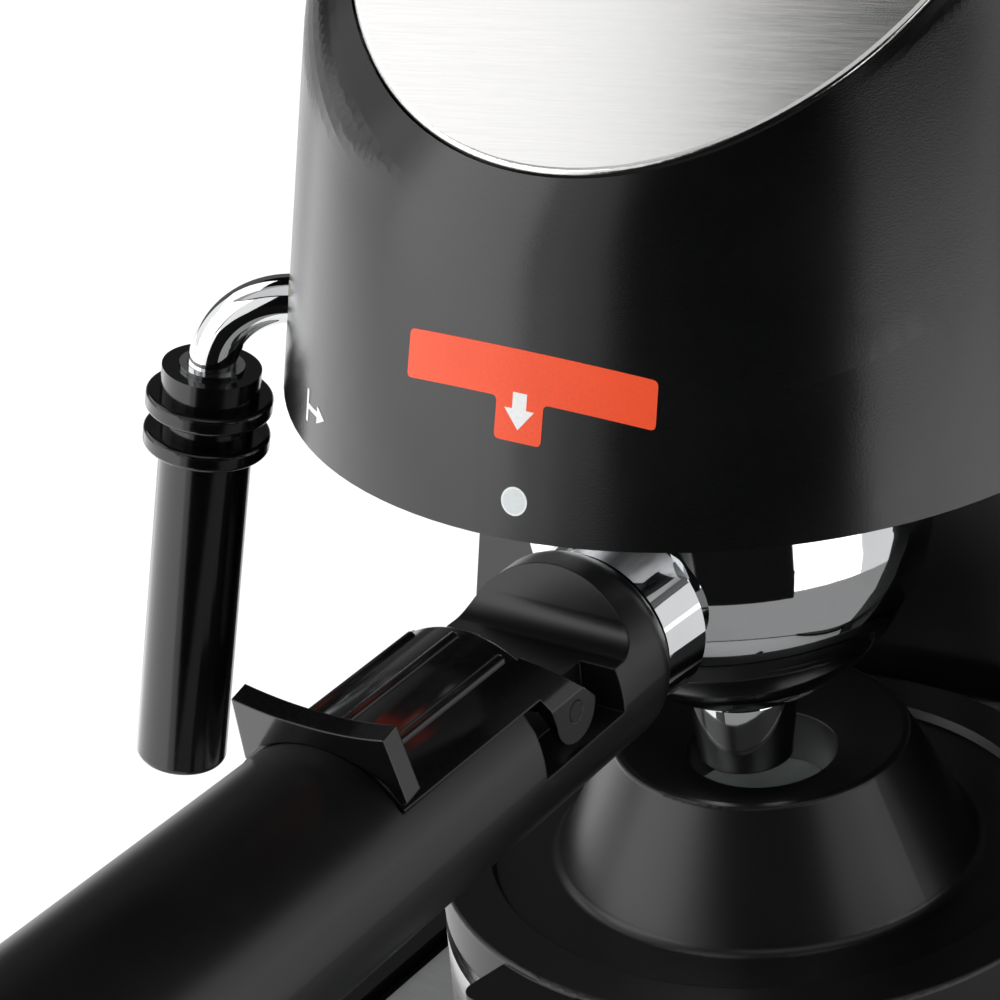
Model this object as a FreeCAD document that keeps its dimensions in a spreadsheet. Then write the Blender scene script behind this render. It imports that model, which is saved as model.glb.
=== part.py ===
import FreeCAD, Part
import math
import os
import re

import Sketcher
from FreeCAD import Placement, Rotation, Vector

# Steam espresso machine with a bayonet holder, a steam wand and a glass carafe.
# The brew axis is vertical, the holder's handle points to -Y, and the table is z = 0.

os.makedirs("parts", exist_ok=True)
doc = FreeCAD.newDocument("espresso_machine")

# Driving dimensions, in millimetres and degrees

SIZES = {
    "brew_axis_y": 35.7,
    "head_draft": 5.0,
    "head_lean": 6.8,
    "rear_draft": 2.0,
    "shell_wall": 2.6,
    "part_gap": 0.4,
    "run_gap": 0.05,
    "face_gap": 0.3,
    "foot_height": 5.0,
    "foot_radius": 9.0,
    "foot_inset": 33.5,
    "foot_set_back": 53.5,
    "foot_rear_inset": 32.0,
    "plate_thick": 2.5,
    "plate_inset": 4.0,
    "floor_rise": 2.5,
    "deck_top": 36.0,
    "base_radius": 95.5,
    "base_rear": 128.0,
    "rear_corner": 60.0,
    "duct_behind": 10.0,
    "duct_half": 30.0,
    "tray_side": 9.5,
    "tray_shoulder": 6.5,
    "tray_clear": 2.0,
    "tray_drop": 2.4,
    "tray_ledge": 1.2,
    "grate_rise": 0.4,
    "grate_thick": 1.5,
    "slot_width": 4.0,
    "slot_inner": 4.0,
    "slot_outer": 50.0,
    "slot_pitch": 11.0,
    "slot_rows": 8,
    "slot_front": 42.0,
    "recess_radius": 68.0,
    "pillar_front": 38.5,
    "head_room": 16.23,
    "head_lift": 3.0,
    "head_high": 122.5,
    "brow_round": 4.5,
    "brow_front": 13.0,
    "slant_angle": 34.0,
    "slant_rise": 80.5,
    "panel_half": 53.4,
    "panel_reach": 61.6,
    "panel_front": 47.6,
    "panel_thick": 2.4,
    "panel_proud": 0.8,
    "panel_round": 0.9,
    "collar_room": 1.2,
    "collar_wall": 1.8,
    "collar_lip": 3.0,
    "collar_rise": 1.8,
    "collar_foot": 12.0,
    "filler_y": 14.0,
    "floor_plate": 2.5,
    "group_wall": 7.2,
    "flange_wide": 6.0,
    "flange_thick": 3.0,
    "group_skirt": 7.3,
    "group_roof": 3.6,
    "screw_out": 3.4,
    "screw_radius": 1.9,
    "screw_head": 3.2,
    "screw_head_high": 2.2,
    "bowl_radius": 32.2,
    "bowl_wall": 3.7,
    "bowl_high": 67.5,
    "bowl_curve": 35.5,
    "bowl_run": 0.8,
    "lug_out": 5.6,
    "lug_run": 0.8,
    "lug_drop": 4.2,
    "lug_high": 3.6,
    "lug_half": 15.0,
    "slot_half": 18.0,
    "insert_angle": 28.0,
    "flange_in": 0.8,
    "basket_room": 1.1,
    "basket_sheet": 0.8,
    "basket_depth": 24.0,
    "gasket_thick": 3.3,
    "gasket_over": 0.2,
    "screen_inset": 1.0,
    "screen_thick": 1.0,
    "screen_hole": 1.1,
    "screen_drop": 1.6,
    "spout_top": 8.9,
    "spout_tip": 7.9,
    "spout_clear": 1.2,
    "spout_high": 13.6,
    "spout_bore": 4.6,
    "spout_stub": 5.6,
    "handle_up": 28.0,
    "neck_radius": 13.9,
    "neck_flare": 14.7,
    "neck_root": 13.0,
    "neck_sink": 0.6,
    "neck_long": 8.4,
    "tang_radius": 4.5,
    "tang_long": 44.0,
    "handle_throat": 12.6,
    "handle_front": 16.0,
    "handle_rear": 18.2,
    "handle_long": 165.0,
    "handle_dome": 12.0,
    "handle_lead": 5.0,
    "bolt_radius": 2.5,
    "bolt_head": 5.0,
    "bolt_sink": 9.0,
    "saddle_start": 9.5,
    "saddle_long": 27.5,
    "saddle_high": 6.2,
    "cheek_half": 8.8,
    "cheek_start": 16.0,
    "cheek_low": -0.8,
    "pin_out": 27.0,
    "pin_high": 5.0,
    "pin_radius": 1.6,
    "pin_root": 5.2,
    "ear_gap": 0.5,
    "ear_thick": 6.1,
    "ear_round": 5.0,
    "clip_rest": 14.7,
    "clip_low": 10.0,
    "clip_thick": 2.6,
    "clip_start": 5.0,
    "clip_long": 35.5,
    "clip_ribs": 3,
    "rib_radius": 0.9,
    "rib_pitch": 27.0,
    "lip_half": 12.6,
    "lip_thick": 3.4,
    "lip_high": 6.7,
    "lip_bow": 1.5,
    "lip_lean": 13.0,
    "wand_azimuth": -64.0,
    "wand_up": 9.0,
    "tube_radius": 3.9,
    "tube_wall": 1.0,
    "tube_inside": 11.9,
    "tube_out": 0.06,
    "tube_bend": 13.8,
    "tube_lean": 10.6,
    "tube_length": 54.0,
    "nozzle_shy": 0.1,
    "nozzle_high": 9.0,
    "bush_wall": 1.0,
    "bush_lip": 1.3,
    "bush_lip_high": 1.6,
    "bush_back": 2.0,
    "bush_shy": 0.8,
    "sleeve_wall": 1.8,
    "sleeve_room": 0.4,
    "sleeve_length": 72.0,
    "sleeve_down": 0.3,
    "ring_out": 2.7,
    "cap_out": 0.5,
    "ring_high": 3.0,
    "ring_pitch": 6.4,
    "ring_down": 4.4,
    "ferrule_wall": 1.3,
    "ferrule_high": 8.0,
    "ferrule_proud": 0.6,
    "boiler_room": 25.2,
    "boiler_wall": 3.0,
    "boiler_clear": 2.65,
    "neck_wall": 3.5,
    "neck_bore": 14.0,
    "neck_high": 36.0,
    "boss_radius": 5.0,
    "steam_bore": 2.0,
    "heater_up": 4.2,
    "heater_high": 4.8,
    "heater_thick": 3.6,
    "puck_radius": 8.0,
    "puck_high": 8.0,
    "puck_inset": 11.0,
    "plug_shy": 0.9,
    "plug_flange_high": 4.0,
    "plug_length": 14.0,
    "plug_run": 0.2,
    "seal_thick": 2.0,
    "cap_wall": 3.5,
    "cap_over": 45.0,
    "cap_under": 12.0,
    "cap_flutes": 12,
    "flute_radius": 2.4,
    "valve_bore": 4.4,
    "seat_bore": 2.2,
    "disc_run": 0.6,
    "valve_disc_high": 2.0,
    "valve_stem": 1.4,
    "valve_lift": 1.5,
    "spring_wire": 0.45,
    "spring_radius": 2.9,
    "spring_turns": 5,
    "knob_y": 20.0,
    "knob_up": 32.5,
    "knob_radius": 17.0,
    "knob_gap": 0.63,
    "knob_long": 19.5,
    "knob_grip": 2.5,
    "stem_radius": 3.5,
    "stem_in": 4.5,
    "valve_out": 5.5,
    "valve_long": 11.5,
    "valve_half": 10.0,
    "valve_under": 1.0,
    "valve_over": 11.0,
    "pipe_clear": 2.4,
    "pipe_radius": 3.0,
    "pipe_up": 4.1,
    "union_half": 5.0,
    "union_deep": 6.4,
    "switch_y": 84.0,
    "switch_height": 74.0,
    "switch_half_high": 13.0,
    "switch_half_wide": 8.5,
    "switch_depth": 16.0,
    "bezel_edge": 2.0,
    "bezel_thick": 1.6,
    "bezel_lift": 0.1,
    "rocker_gap": 0.7,
    "rocker_tilt": 7.0,
    "trunnion_radius": 1.3,
    "trunnion_seat": 1.0,
    "lens_radius": 3.6,
    "lens_y": 20.0,
    "lens_up": 59.5,
    "lens_proud": 1.4,
    "gland_wall": 3.4,
    "gland_lip": 2.5,
    "gland_bore": 3.6,
    "gland_height": 21.0,
    "gland_proud": 8.0,
    "carafe_x": -2.5,
    "carafe_y": 8.5,
    "carafe_turn": -11.0,
    "glass_radius": 53.2,
    "glass_wall": 2.2,
    "foot_draw": 8.2,
    "glass_foot_round": 9.0,
    "shoulder_up": 24.0,
    "glass_high": 51.0,
    "lid_wall": 0.8,
    "lid_rise": 5.0,
    "skirt_high": 8.4,
    "lid_plate": 2.2,
    "lid_shelf": 9.3,
    "lid_step_drop": 1.3,
    "cone_foot": 34.7,
    "cone_rim": 24.5,
    "cone_high": 19.7,
    "cone_wall": 2.0,
    "funnel_bore": 12.3,
    "funnel_drop": 3.6,
    "funnel_tube": 9.0,
    "tab_half": 8.0,
    "tab_long": 9.7,
    "tab_thick": 3.6,
    "band_down": 19.0,
    "band_high": 12.0,
    "band_thick": 0.9,
    "grip_half": 7.5,
    "grip_reach": 40.0,
    "grip_thick": 11.0,
    "grip_down": 4.5,
    "grip_high": 38.5,
}

# Heights and radii that follow from the driving dimensions, from the table upwards

FOLLOWS = {
    "foot_spread": "base_radius - foot_inset",
    "foot_front": "base_radius - foot_set_back",
    "foot_rear": "base_rear - foot_rear_inset",
    "floor_top": "foot_height + plate_thick + floor_rise",
    "duct_front": "recess_radius + duct_behind",
    "tray_half": "base_radius - tray_side",
    "tray_step": "pillar_front - tray_shoulder",
    "tray_rear": "recess_radius - tray_clear",
    "tray_top": "deck_top - tray_drop",
    "grate_top": "tray_top + grate_rise",
    "gland_radius": "gland_bore + gland_wall",
    "gland_flange": "gland_radius + gland_lip",
    "glass_foot": "glass_radius - foot_draw",
    "glass_shoulder": "grate_top + shoulder_up",
    "glass_rim": "grate_top + glass_high",
    "band_low": "glass_rim - band_down",
    "grip_top": "glass_rim - grip_down",
    "grip_bottom": "grip_top - grip_high",
    "lid_radius": "glass_radius + face_gap + lid_wall",
    "lid_step": "lid_radius - lid_shelf",
    "lid_edge": "glass_rim + lid_rise",
    "lid_skirt": "lid_edge - skirt_high",
    "cone_top": "lid_edge + cone_high",
    "tab_reach": "lid_radius + tab_long",
    "spout_bottom": "cone_top + spout_clear",
    "bowl_bottom": "spout_bottom + spout_high",
    "bowl_straight": "bowl_bottom + bowl_curve",
    "bowl_top": "bowl_bottom + bowl_high",
    "handle_height": "bowl_bottom + handle_up",
    "lug_reach": "bowl_radius + lug_out",
    "lug_bottom": "bowl_top - lug_drop",
    "basket_flange": "bowl_radius - flange_in",
    "basket_radius": "bowl_radius - bowl_wall - basket_room",
    "gasket_inner": "basket_radius + gasket_over",
    "screen_radius": "basket_radius - screen_inset",
    "group_radius": "lug_reach + group_wall",
    "group_flange": "group_radius + flange_wide",
    "group_screw_circle": "group_radius + screw_out",
    "group_bottom": "lug_bottom - group_skirt",
    "group_ceiling": "bowl_top + basket_sheet + gasket_thick + face_gap",
    "group_top": "group_ceiling + group_roof",
    "neck_start": "bowl_radius - neck_sink",
    "neck_end": "neck_start + neck_long",
    "tang_end": "neck_end + tang_long",
    "handle_end": "neck_end + handle_long",
    "saddle_front": "neck_end + saddle_start",
    "saddle_rear": "saddle_front + saddle_long",
    "cheek_front": "neck_end + cheek_start",
    "pin_reach": "neck_end + pin_out",
    "ear_inner": "cheek_half + ear_gap",
    "ear_outer": "ear_inner + ear_thick",
    "clip_top": "clip_rest + clip_thick",
    "clip_front": "pin_reach + clip_start",
    "clip_rear": "clip_front + clip_long",
    "lip_mid": "clip_rest + lip_high",
    "lip_corner": "lip_mid + lip_bow",
    "head_bottom": "group_bottom + head_lift",
    "head_radius": "group_flange + head_room",
    "body_draft": "atan((base_radius - head_radius) / (head_bottom - foot_height))",
    "head_top": "head_bottom + head_high",
    "slant_height": "head_bottom + slant_rise",
    "lens_height": "head_bottom + lens_up",
    "boiler_radius": "head_radius - boiler_room",
    "boiler_top": "slant_height - boiler_radius * tan(slant_angle) - boiler_clear",
    "heater_low": "group_top + heater_up",
    "puck_circle": "boiler_radius - puck_inset",
    "neck_outer": "neck_bore + neck_wall",
    "neck_top": "boiler_top + neck_high",
    "plug_flange": "neck_outer - plug_shy",
    "cap_radius": "neck_outer + cap_wall",
    "cap_top": "neck_top + cap_over",
    "cap_skirt": "neck_top - cap_under",
    "valve_disc": "valve_bore - disc_run",
    "collar_bore": "cap_radius + collar_room",
    "collar_outer": "collar_bore + collar_wall",
    "collar_bottom": "slant_height - collar_foot",
    "knob_height": "head_bottom + knob_up",
    "knob_inner": "head_radius - (knob_up - knob_radius) * tan(head_draft) + knob_gap",
    "knob_outer": "knob_inner + knob_long",
    "valve_inner": "boiler_radius + valve_out",
    "valve_outer": "valve_inner + valve_long",
    "stem_root": "valve_inner + stem_in",
    "wand_height": "head_bottom + wand_up",
    "wand_skin": "head_radius - wand_up * tan(head_draft)",
    "tube_start": "wand_skin - tube_inside",
    "tube_turn": "wand_skin + tube_out",
    "nozzle_radius": "tube_radius - nozzle_shy",
    "bush_outer": "tube_radius + bush_wall",
    "bush_flange": "bush_outer + bush_lip",
    "ferrule_radius": "tube_radius + ferrule_wall",
    "sleeve_bore": "ferrule_radius + sleeve_room",
    "sleeve_radius": "sleeve_bore + sleeve_wall",
    "sleeve_cap": "sleeve_radius + cap_out",
    "sleeve_ring": "sleeve_radius + ring_out",
    "pipe_height": "wand_height + pipe_up",
    "pipe_circle": "boiler_radius + heater_thick + pipe_radius + pipe_clear",
    "valve_low": "pipe_height - pipe_radius - valve_under",
    "valve_top": "knob_height + valve_over",
}

dims = doc.addObject("Spreadsheet::Sheet", "dims")
for row, (alias, number) in enumerate(SIZES.items(), start=1):
    dims.set(f"A{row}", alias)
    dims.set(f"B{row}", str(number))
    dims.setAlias(f"B{row}", alias)
doc.recompute()

# Short names for lengths that several pieces share

TAN = "tan(body_draft)"
PANEL_SEAT = "(panel_thick - panel_proud)"
GRATE_LOW = "(grate_top - grate_thick)"
GASKET_LOW = "(group_ceiling - gasket_thick)"
LEDGE_TOP = "(lug_bottom - face_gap)"
CHANNEL = "(lug_reach + lug_run)"
THROAT = "(bowl_radius + bowl_run)"
PLUG_SEAT = "(neck_top + seal_thick)"
PLUG_TOP = "(neck_top + seal_thick + plug_flange_high)"
PLUG_RADIUS = "(neck_bore - plug_run)"
CONE_LOW = "(lid_edge - lid_step_drop)"
SLEEVE_TOP_BORE = "(ferrule_radius + run_gap)"


def bound(text):
    """Puts the sheet's name before every alias, and spells out the sizes that follow from others."""
    def spell(match):
        word = match[0]
        if word in FOLLOWS:
            return f"({bound(FOLLOWS[word])})"
        return f"dims.{word}" if word in SIZES else word

    return re.sub(r"[a-z][a-z_]*", spell, str(text))


def size(text):
    """Number that an expression of sheet aliases stands for."""
    return float(dims.evalExpression(bound(text)))


def drive(item, prop, text):
    """Binds a property of a feature to an expression of sheet aliases."""
    item.setExpression(prop, bound(text))


# Sketches and features

NODES = []


def node(item, label, move=None):
    """Names a finished sub-part and puts it in its place."""
    item.Label = label
    if move is not None:
        item.Placement = move
    NODES.append(item)
    return item


def new_body(name, move=None):
    """Empty body, with a placement if it isn't at the brew axis."""
    body = doc.addObject("PartDesign::Body", name)
    doc.recompute()
    if move is not None:
        body.Placement = move
    return body


def sketch(body, role, outlines, lift="0"):
    """Sketch of closed outlines on one of a body's own planes.

    An outline is a list of corners (x, y) or (x, y, radius); a radius makes the side that
    ends at the corner an arc, turning left if it is positive text and right after a minus.
    A circle is written (x, y, radius) alone.
    """
    plane = next(o for o in body.Origin.OriginFeatures if o.Role == role)
    sk = body.newObject("Sketcher::SketchObject", "outline")
    sk.AttachmentSupport = [(plane, "")]
    sk.MapMode = "FlatFace"
    if lift != "0":
        drive(sk, "AttachmentOffset.Base.z", lift)
    for outline in outlines:
        if isinstance(outline, tuple):
            add_circle(sk, outline)
        else:
            add_outline(sk, outline)
    return sk


def pin_point(sk, geo, pos, x, y):
    """Ties a point of the sketch to two expressions."""
    for kind, text in (("DistanceX", x), ("DistanceY", y)):
        index = sk.addConstraint(Sketcher.Constraint(kind, -1, 1, geo, pos, size(text)))
        drive(sk, f"Constraints[{index}]", text)


def add_circle(sk, circle):
    """Circle tied to its middle and its radius."""
    x, y, radius = circle
    middle = Vector(size(x), size(y), 0)
    geo = sk.addGeometry(Part.Circle(middle, Vector(0, 0, 1), size(radius)))
    pin_point(sk, geo, 3, x, y)
    index = sk.addConstraint(Sketcher.Constraint("Radius", geo, size(radius)))
    drive(sk, f"Constraints[{index}]", radius)


def arc_middle(start, end, radius, turn):
    """Middle point of the short arc from start to end that turns left (1) or right (-1)."""
    chord = end - start
    half = chord.Length / 2
    bulge = radius - math.sqrt(max(radius * radius - half * half, 0.0))
    side = Vector(chord.y, -chord.x, 0).normalize()
    return (start + end) / 2 + side * bulge * turn


def add_outline(sk, corners):
    """Closed run of lines and arcs, each corner tied to its two expressions."""
    spots = [Vector(size(c[0]), size(c[1]), 0) for c in corners]
    ends = []
    for i, corner in enumerate(corners):
        start, end = spots[i - 1], spots[i]
        if len(corner) == 2:
            geo = sk.addGeometry(Part.LineSegment(start, end))
            ends.append((geo, 1, 2))
            continue
        text = corner[2]
        turn = -1 if text.startswith("-") else 1
        radius = text.lstrip("-")
        middle = arc_middle(start, end, size(radius), turn)
        geo = sk.addGeometry(Part.Arc(start, middle, end))
        first = 1 if sk.getPoint(geo, 1).distanceToPoint(start) < 1e-6 else 2
        ends.append((geo, first, 3 - first))
        index = sk.addConstraint(Sketcher.Constraint("Radius", geo, size(radius)))
        drive(sk, f"Constraints[{index}]", radius)
    for i, corner in enumerate(corners):
        geo, _, last = ends[i]
        after, first, _ = ends[(i + 1) % len(ends)]
        sk.addConstraint(Sketcher.Constraint("Coincident", geo, last, after, first))
        pin_point(sk, geo, last, corner[0], corner[1])


def pad(body, role, outlines, length, lift="0", back=False, mid=False):
    """Pad of outlines on a plane of the body."""
    feature = body.newObject("PartDesign::Pad", "pad")
    feature.Profile = sketch(body, role, outlines, lift)
    drive(feature, "Length", length)
    feature.Reversed = back
    feature.Midplane = mid
    return feature


def pocket(body, role, outlines, length, lift="0", back=False, mid=False):
    """Pocket of outlines on a plane of the body."""
    feature = body.newObject("PartDesign::Pocket", "pocket")
    feature.Profile = sketch(body, role, outlines, lift)
    drive(feature, "Length", length)
    feature.Reversed = back
    feature.Midplane = mid
    return feature


def spin(body, corners, kind="PartDesign::Revolution"):
    """Full turn of an outline (radius, height) about the body's own Z axis."""
    sk = sketch(body, "XZ_Plane", [corners])
    feature = body.newObject(kind, "turn")
    feature.Profile = sk
    feature.ReferenceAxis = (sk, ["V_Axis"])
    feature.Angle = 360
    return feature


def turned(name, corners, move=None):
    """Body that is one turned piece."""
    body = new_body(name, move)
    spin(body, corners)
    return body


def tube(inner, outer, low, top):
    """Outline of a plain ring, for a turned piece."""
    return [(inner, low), (outer, low), (outer, top), (inner, top)]


def axis_of(body, role):
    """One of a body's own axes."""
    return next(o for o in body.Origin.OriginFeatures if o.Role == role)


def round_pattern(body, feature, count):
    """Repeats a feature round the body's Z axis."""
    pattern = body.newObject("PartDesign::PolarPattern", "round_pattern")
    pattern.Originals = [feature]
    pattern.Axis = (axis_of(body, "Z_Axis"), [""])
    pattern.Angle = 360
    drive(pattern, "Occurrences", count)
    body.Tip = pattern
    return pattern


def row_pattern(body, feature, role, length, count):
    """Repeats a feature along one of the body's axes."""
    pattern = body.newObject("PartDesign::LinearPattern", "row_pattern")
    pattern.Originals = [feature]
    pattern.Direction = (axis_of(body, role), [""])
    drive(pattern, "Length", length)
    drive(pattern, "Occurrences", count)
    body.Tip = pattern
    return pattern


def at(x="0", y="0", z="0", spin_z=0.0, tilt=None):
    """Placement from expressions, with a turn about Z and then a rotation of its own."""
    turn = Rotation(Vector(0, 0, 1), spin_z)
    if tilt is not None:
        turn = turn * tilt
    return Placement(Vector(size(x), size(y), size(z)), turn)


def round_bar(radius, low, top, x="0", y="0", move=None):
    """Plain cylinder along Z from one height to another."""
    item = doc.addObject("Part::Cylinder", "round_bar")
    drive(item, "Radius", radius)
    drive(item, "Height", f"({top}) - ({low})")
    if move is None:
        for prop, text in (("x", x), ("y", y), ("z", low)):
            drive(item, f"Placement.Base.{prop}", text)
    else:
        item.Placement = move
    return item


def block(x0, x1, y0, y1, z0, z1):
    """Plain box between two corners."""
    item = doc.addObject("Part::Box", "block")
    for prop, low, high in (("Length", x0, x1), ("Width", y0, y1), ("Height", z0, z1)):
        drive(item, prop, f"({high}) - ({low})")
    for prop, text in (("x", x0), ("y", y0), ("z", z0)):
        drive(item, f"Placement.Base.{prop}", text)
    return item


def fuse(*shapes):
    """One solid from several that meet."""
    item = doc.addObject("Part::MultiFuse", "fuse")
    item.Shapes = list(shapes)
    item.Refine = True
    return item


def common(*shapes):
    """What several solids share."""
    item = doc.addObject("Part::MultiCommon", "common")
    item.Shapes = list(shapes)
    return item


def cut(base, *tools):
    """A solid less its cutters."""
    item = doc.addObject("Part::Cut", "cut")
    item.Base = base
    item.Tool = tools[0] if len(tools) == 1 else fuse(*tools)
    return item


def group(*items):
    """Several equal solids kept as one node."""
    item = doc.addObject("Part::Compound", "group")
    item.Links = list(items)
    return item


ALONG_X = Rotation(Vector(0, 1, 0), 90)
ALONG_FRONT = Rotation(Vector(1, 0, 0), 90)


# Tapered body: the plan is round in front and square with wide corners behind


def plan(radius, middle, rear, corner):
    """Plan that is round in front, with straight sides and two round corners behind."""
    return [
        (radius, middle, radius),
        (radius, f"{rear} - {corner}"),
        (f"{radius} - {corner}", rear, corner),
        (f"{corner} - {radius}", rear),
        (f"-{radius}", f"{rear} - {corner}", corner),
        (f"-{radius}", middle),
        ("0", f"{middle} - {radius}", radius),
    ]


def body_plan(height, inset):
    """Plan of the base and tower at a height, drawn in by an inset."""
    fall = f"((({height}) - foot_height) * {TAN} + ({inset}))"
    return plan(f"(base_radius - {fall})", "0", f"(base_rear - {fall})", f"(rear_corner - {fall})")


def head_plan(height, inset):
    """Plan of the head at a height: its round front leans back as it rises."""
    rise = f"(({height}) - head_bottom)"
    fall = f"(base_radius - head_radius + ({inset}))"
    return plan(f"(base_radius - {fall} - {rise} * tan(head_draft))", f"({rise} * tan(head_lean))",
                f"(base_rear - {fall} - {rise} * tan(rear_draft))",
                f"(rear_corner - {fall} - {rise} * tan(head_draft))")


def tapered(name, low, top, inset="0", shape=body_plan):
    """Slice of the tapered body between two heights."""
    body = new_body(name)
    first = sketch(body, "XY_Plane", [shape(low, inset)], low)
    second = sketch(body, "XY_Plane", [shape(top, inset)], top)
    loft = body.newObject("PartDesign::AdditiveLoft", "taper")
    loft.Profile = first
    loft.Sections = [second]
    loft.Ruled = True
    return body


def slant_line(drop):
    """Height of the slanted plane on the brew axis, lowered square to itself."""
    return f"(slant_height - ({drop}) / cos(slant_angle))"


def over_slant(drop):
    """Side outline (y, z) of everything above the slanted plane."""
    reach = "(base_radius * 1.2)"
    level = slant_line(drop)
    rise = f"{reach} * tan(slant_angle)"
    return [
        (f"-{reach}", f"{level} - {rise}"),
        (reach, f"{level} + {rise}"),
        (f"-{reach}", f"{level} + {rise}"),
    ]


def panel_axes(drop):
    """Placement of the slanted panel's middle: X up the slope and Z out of it."""
    slope = math.radians(size("slant_angle"))
    along = Vector(0, math.cos(slope), math.sin(slope))
    out = Vector(0, -math.sin(slope), math.cos(slope))
    middle_y = -size("panel_front") + size("panel_reach") * math.cos(slope)
    middle = Vector(0, middle_y, size("slant_height") + middle_y * math.tan(slope))
    return Placement(middle - out * size(drop), Rotation(along, Vector(), out, "ZXY"))


def ellipse_plate(grow, drop, thick):
    """Elliptical plate lying on the slanted plane."""
    ring = doc.addObject("Part::Ellipse", "ellipse")
    drive(ring, "MajorRadius", f"panel_reach + {grow}")
    drive(ring, "MinorRadius", f"panel_half + {grow}")
    ring.Placement = panel_axes(drop)
    plate = doc.addObject("Part::Extrusion", "plate")
    plate.Base = ring
    plate.DirMode = "Normal"
    plate.Solid = True
    drive(plate, "LengthFwd", thick)
    return plate


# Base: shell, bottom plate, feet and screws


def tray_plan(grow):
    """Plan of the drip tray: wide in front of the tower and round inside its recess."""
    half = f"(tray_half + {grow})"
    step = f"(tray_step + {grow})"
    rear = f"(tray_rear + {grow})"
    waist = f"sqrt({rear}^2 - {step}^2)"
    front = "-(base_radius + 10)"
    return [
        (half, front),
        (half, step),
        (waist, step),
        ("0", rear, rear),
        (f"-{waist}", step, rear),
        (f"-{half}", step),
        (f"-{half}", front),
    ]


def tray_prism(grow, low, top):
    """Upright block with the tray's plan."""
    body = new_body("tray_block")
    pad(body, "XY_Plane", [tray_plan(grow)], f"({top}) - ({low})", low)
    return body


def bottom_spots():
    """Places of the four feet; the screws stand inside them."""
    for x in ("-foot_spread", "foot_spread"):
        for y in ("-foot_front", "foot_rear"):
            yield x, y


SCREW_IN = "(foot_radius + 10)"
PLATE_TOP = "(foot_height + plate_thick)"


def screw_x(x):
    """Screw place beside a foot."""
    return f"{x} + {SCREW_IN}" if x.startswith("-") else f"{x} - {SCREW_IN}"


def make_base():
    """Base shell with its bay and duct, bottom plate, rubber feet and screws."""
    outer = tapered("base_block", "foot_height", "deck_top")
    bay = tray_prism("part_gap", "floor_top", "deck_top + 5")
    under = tapered("plate_room", "foot_height - 1", PLATE_TOP, "plate_inset - part_gap")
    duct = block("-duct_half", "duct_half", "duct_front", "base_rear - 16", PLATE_TOP,
                 "deck_top + 1")
    gland = round_bar("gland_radius + part_gap", "0", "60",
                      move=Placement(Vector(0, size("base_rear - 26"), size("gland_height")),
                                     Rotation(Vector(1, 0, 0), -90)))
    holes = [round_bar("screw_radius + run_gap", "foot_height", "floor_top - 1", screw_x(x), y)
             for x, y in bottom_spots()]
    node(cut(outer, bay, under, duct, gland, *holes), "base_shell")

    plate = tapered("bottom_block", "foot_height", PLATE_TOP, "plate_inset")
    holes = [round_bar("screw_radius + run_gap", "foot_height - 1", "floor_top", screw_x(x), y)
             for x, y in bottom_spots()]
    node(cut(plate, *holes), "bottom_plate")

    feet = []
    screws = []
    for x, y in bottom_spots():
        foot = turned("foot", [("0", "0"), ("foot_radius - 1.2", "0"),
                               ("foot_radius", "1.2", "1.2"), ("foot_radius", "foot_height"),
                               ("0", "foot_height")], at(x, y))
        feet.append(foot)
        screw = turned("screw", [("0", "foot_height - screw_head_high"),
                                 ("screw_head - 0.6", "foot_height - screw_head_high"),
                                 ("screw_head", "foot_height - screw_head_high + 0.6", "0.6"),
                                 ("screw_head", "foot_height"), ("screw_radius", "foot_height"),
                                 ("screw_radius", "floor_top - 1.5"), ("0", "floor_top - 1.5")],
                       at(screw_x(x), y))
        screws.append(screw)
    node(group(*feet), "rubber_feet")
    node(group(*screws), "bottom_screws")

    gland_move = Placement(Vector(0, size(f"base_rear - (gland_height - foot_height) * {TAN}"),
                                  size("gland_height")), Rotation(Vector(1, 0, 0), -90))
    gland = turned("gland", [("gland_bore", "-10"), ("gland_radius", "-10"),
                             ("gland_radius", "1.8"), ("gland_flange", "1.8"),
                             ("gland_flange", "3.6"), ("gland_radius - 1", "4.6"),
                             ("gland_radius - 2", "gland_proud"),
                             ("gland_bore", "gland_proud")], gland_move)
    node(gland, "cord_gland")


# Drip tray and its steel grate


def make_tray():
    """Drip tray that slides out of the base, and the slotted plate on it."""
    low = "(floor_top + face_gap)"
    outer = common(tapered("tray_skin", low, "tray_top"), tray_prism("0", low, "tray_top"))
    deep = common(tapered("tray_room", f"{low} + shell_wall", "tray_top + 1", "shell_wall"),
                  tray_prism("-shell_wall", f"{low} + shell_wall", "tray_top + 1"))
    edge = "(shell_wall - tray_ledge)"
    seat = common(tapered("grate_room", GRATE_LOW, "tray_top + 1", edge),
                  tray_prism(f"-{edge}", GRATE_LOW, "tray_top + 1"))
    node(cut(outer, deep, seat), "drip_tray")

    inset = f"({edge} + part_gap)"
    sheet = common(tapered("grate_sheet", GRATE_LOW, "grate_top", inset),
                   tray_prism(f"-{inset}", GRATE_LOW, "grate_top"))
    slots = new_body("slots")
    end = "(slot_width / 2)"
    outlines = []
    for near, far in (("slot_inner", "slot_outer"), ("-slot_outer", "-slot_inner")):
        outlines.append([
            (far, f"-slot_front - {end}"),
            (f"{far} + {end}", "-slot_front", end),
            (far, f"-slot_front + {end}", end),
            (near, f"-slot_front + {end}"),
            (f"{near} - {end}", "-slot_front", end),
            (near, f"-slot_front - {end}", end),
        ])
    first = pad(slots, "XY_Plane", outlines, "grate_thick + 2", f"{GRATE_LOW} - 1")
    row_pattern(slots, first, "Y_Axis", "slot_pitch * (slot_rows - 1)", "slot_rows")
    node(cut(sheet, slots), "drip_grate")


# Tower behind the carafe


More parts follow.
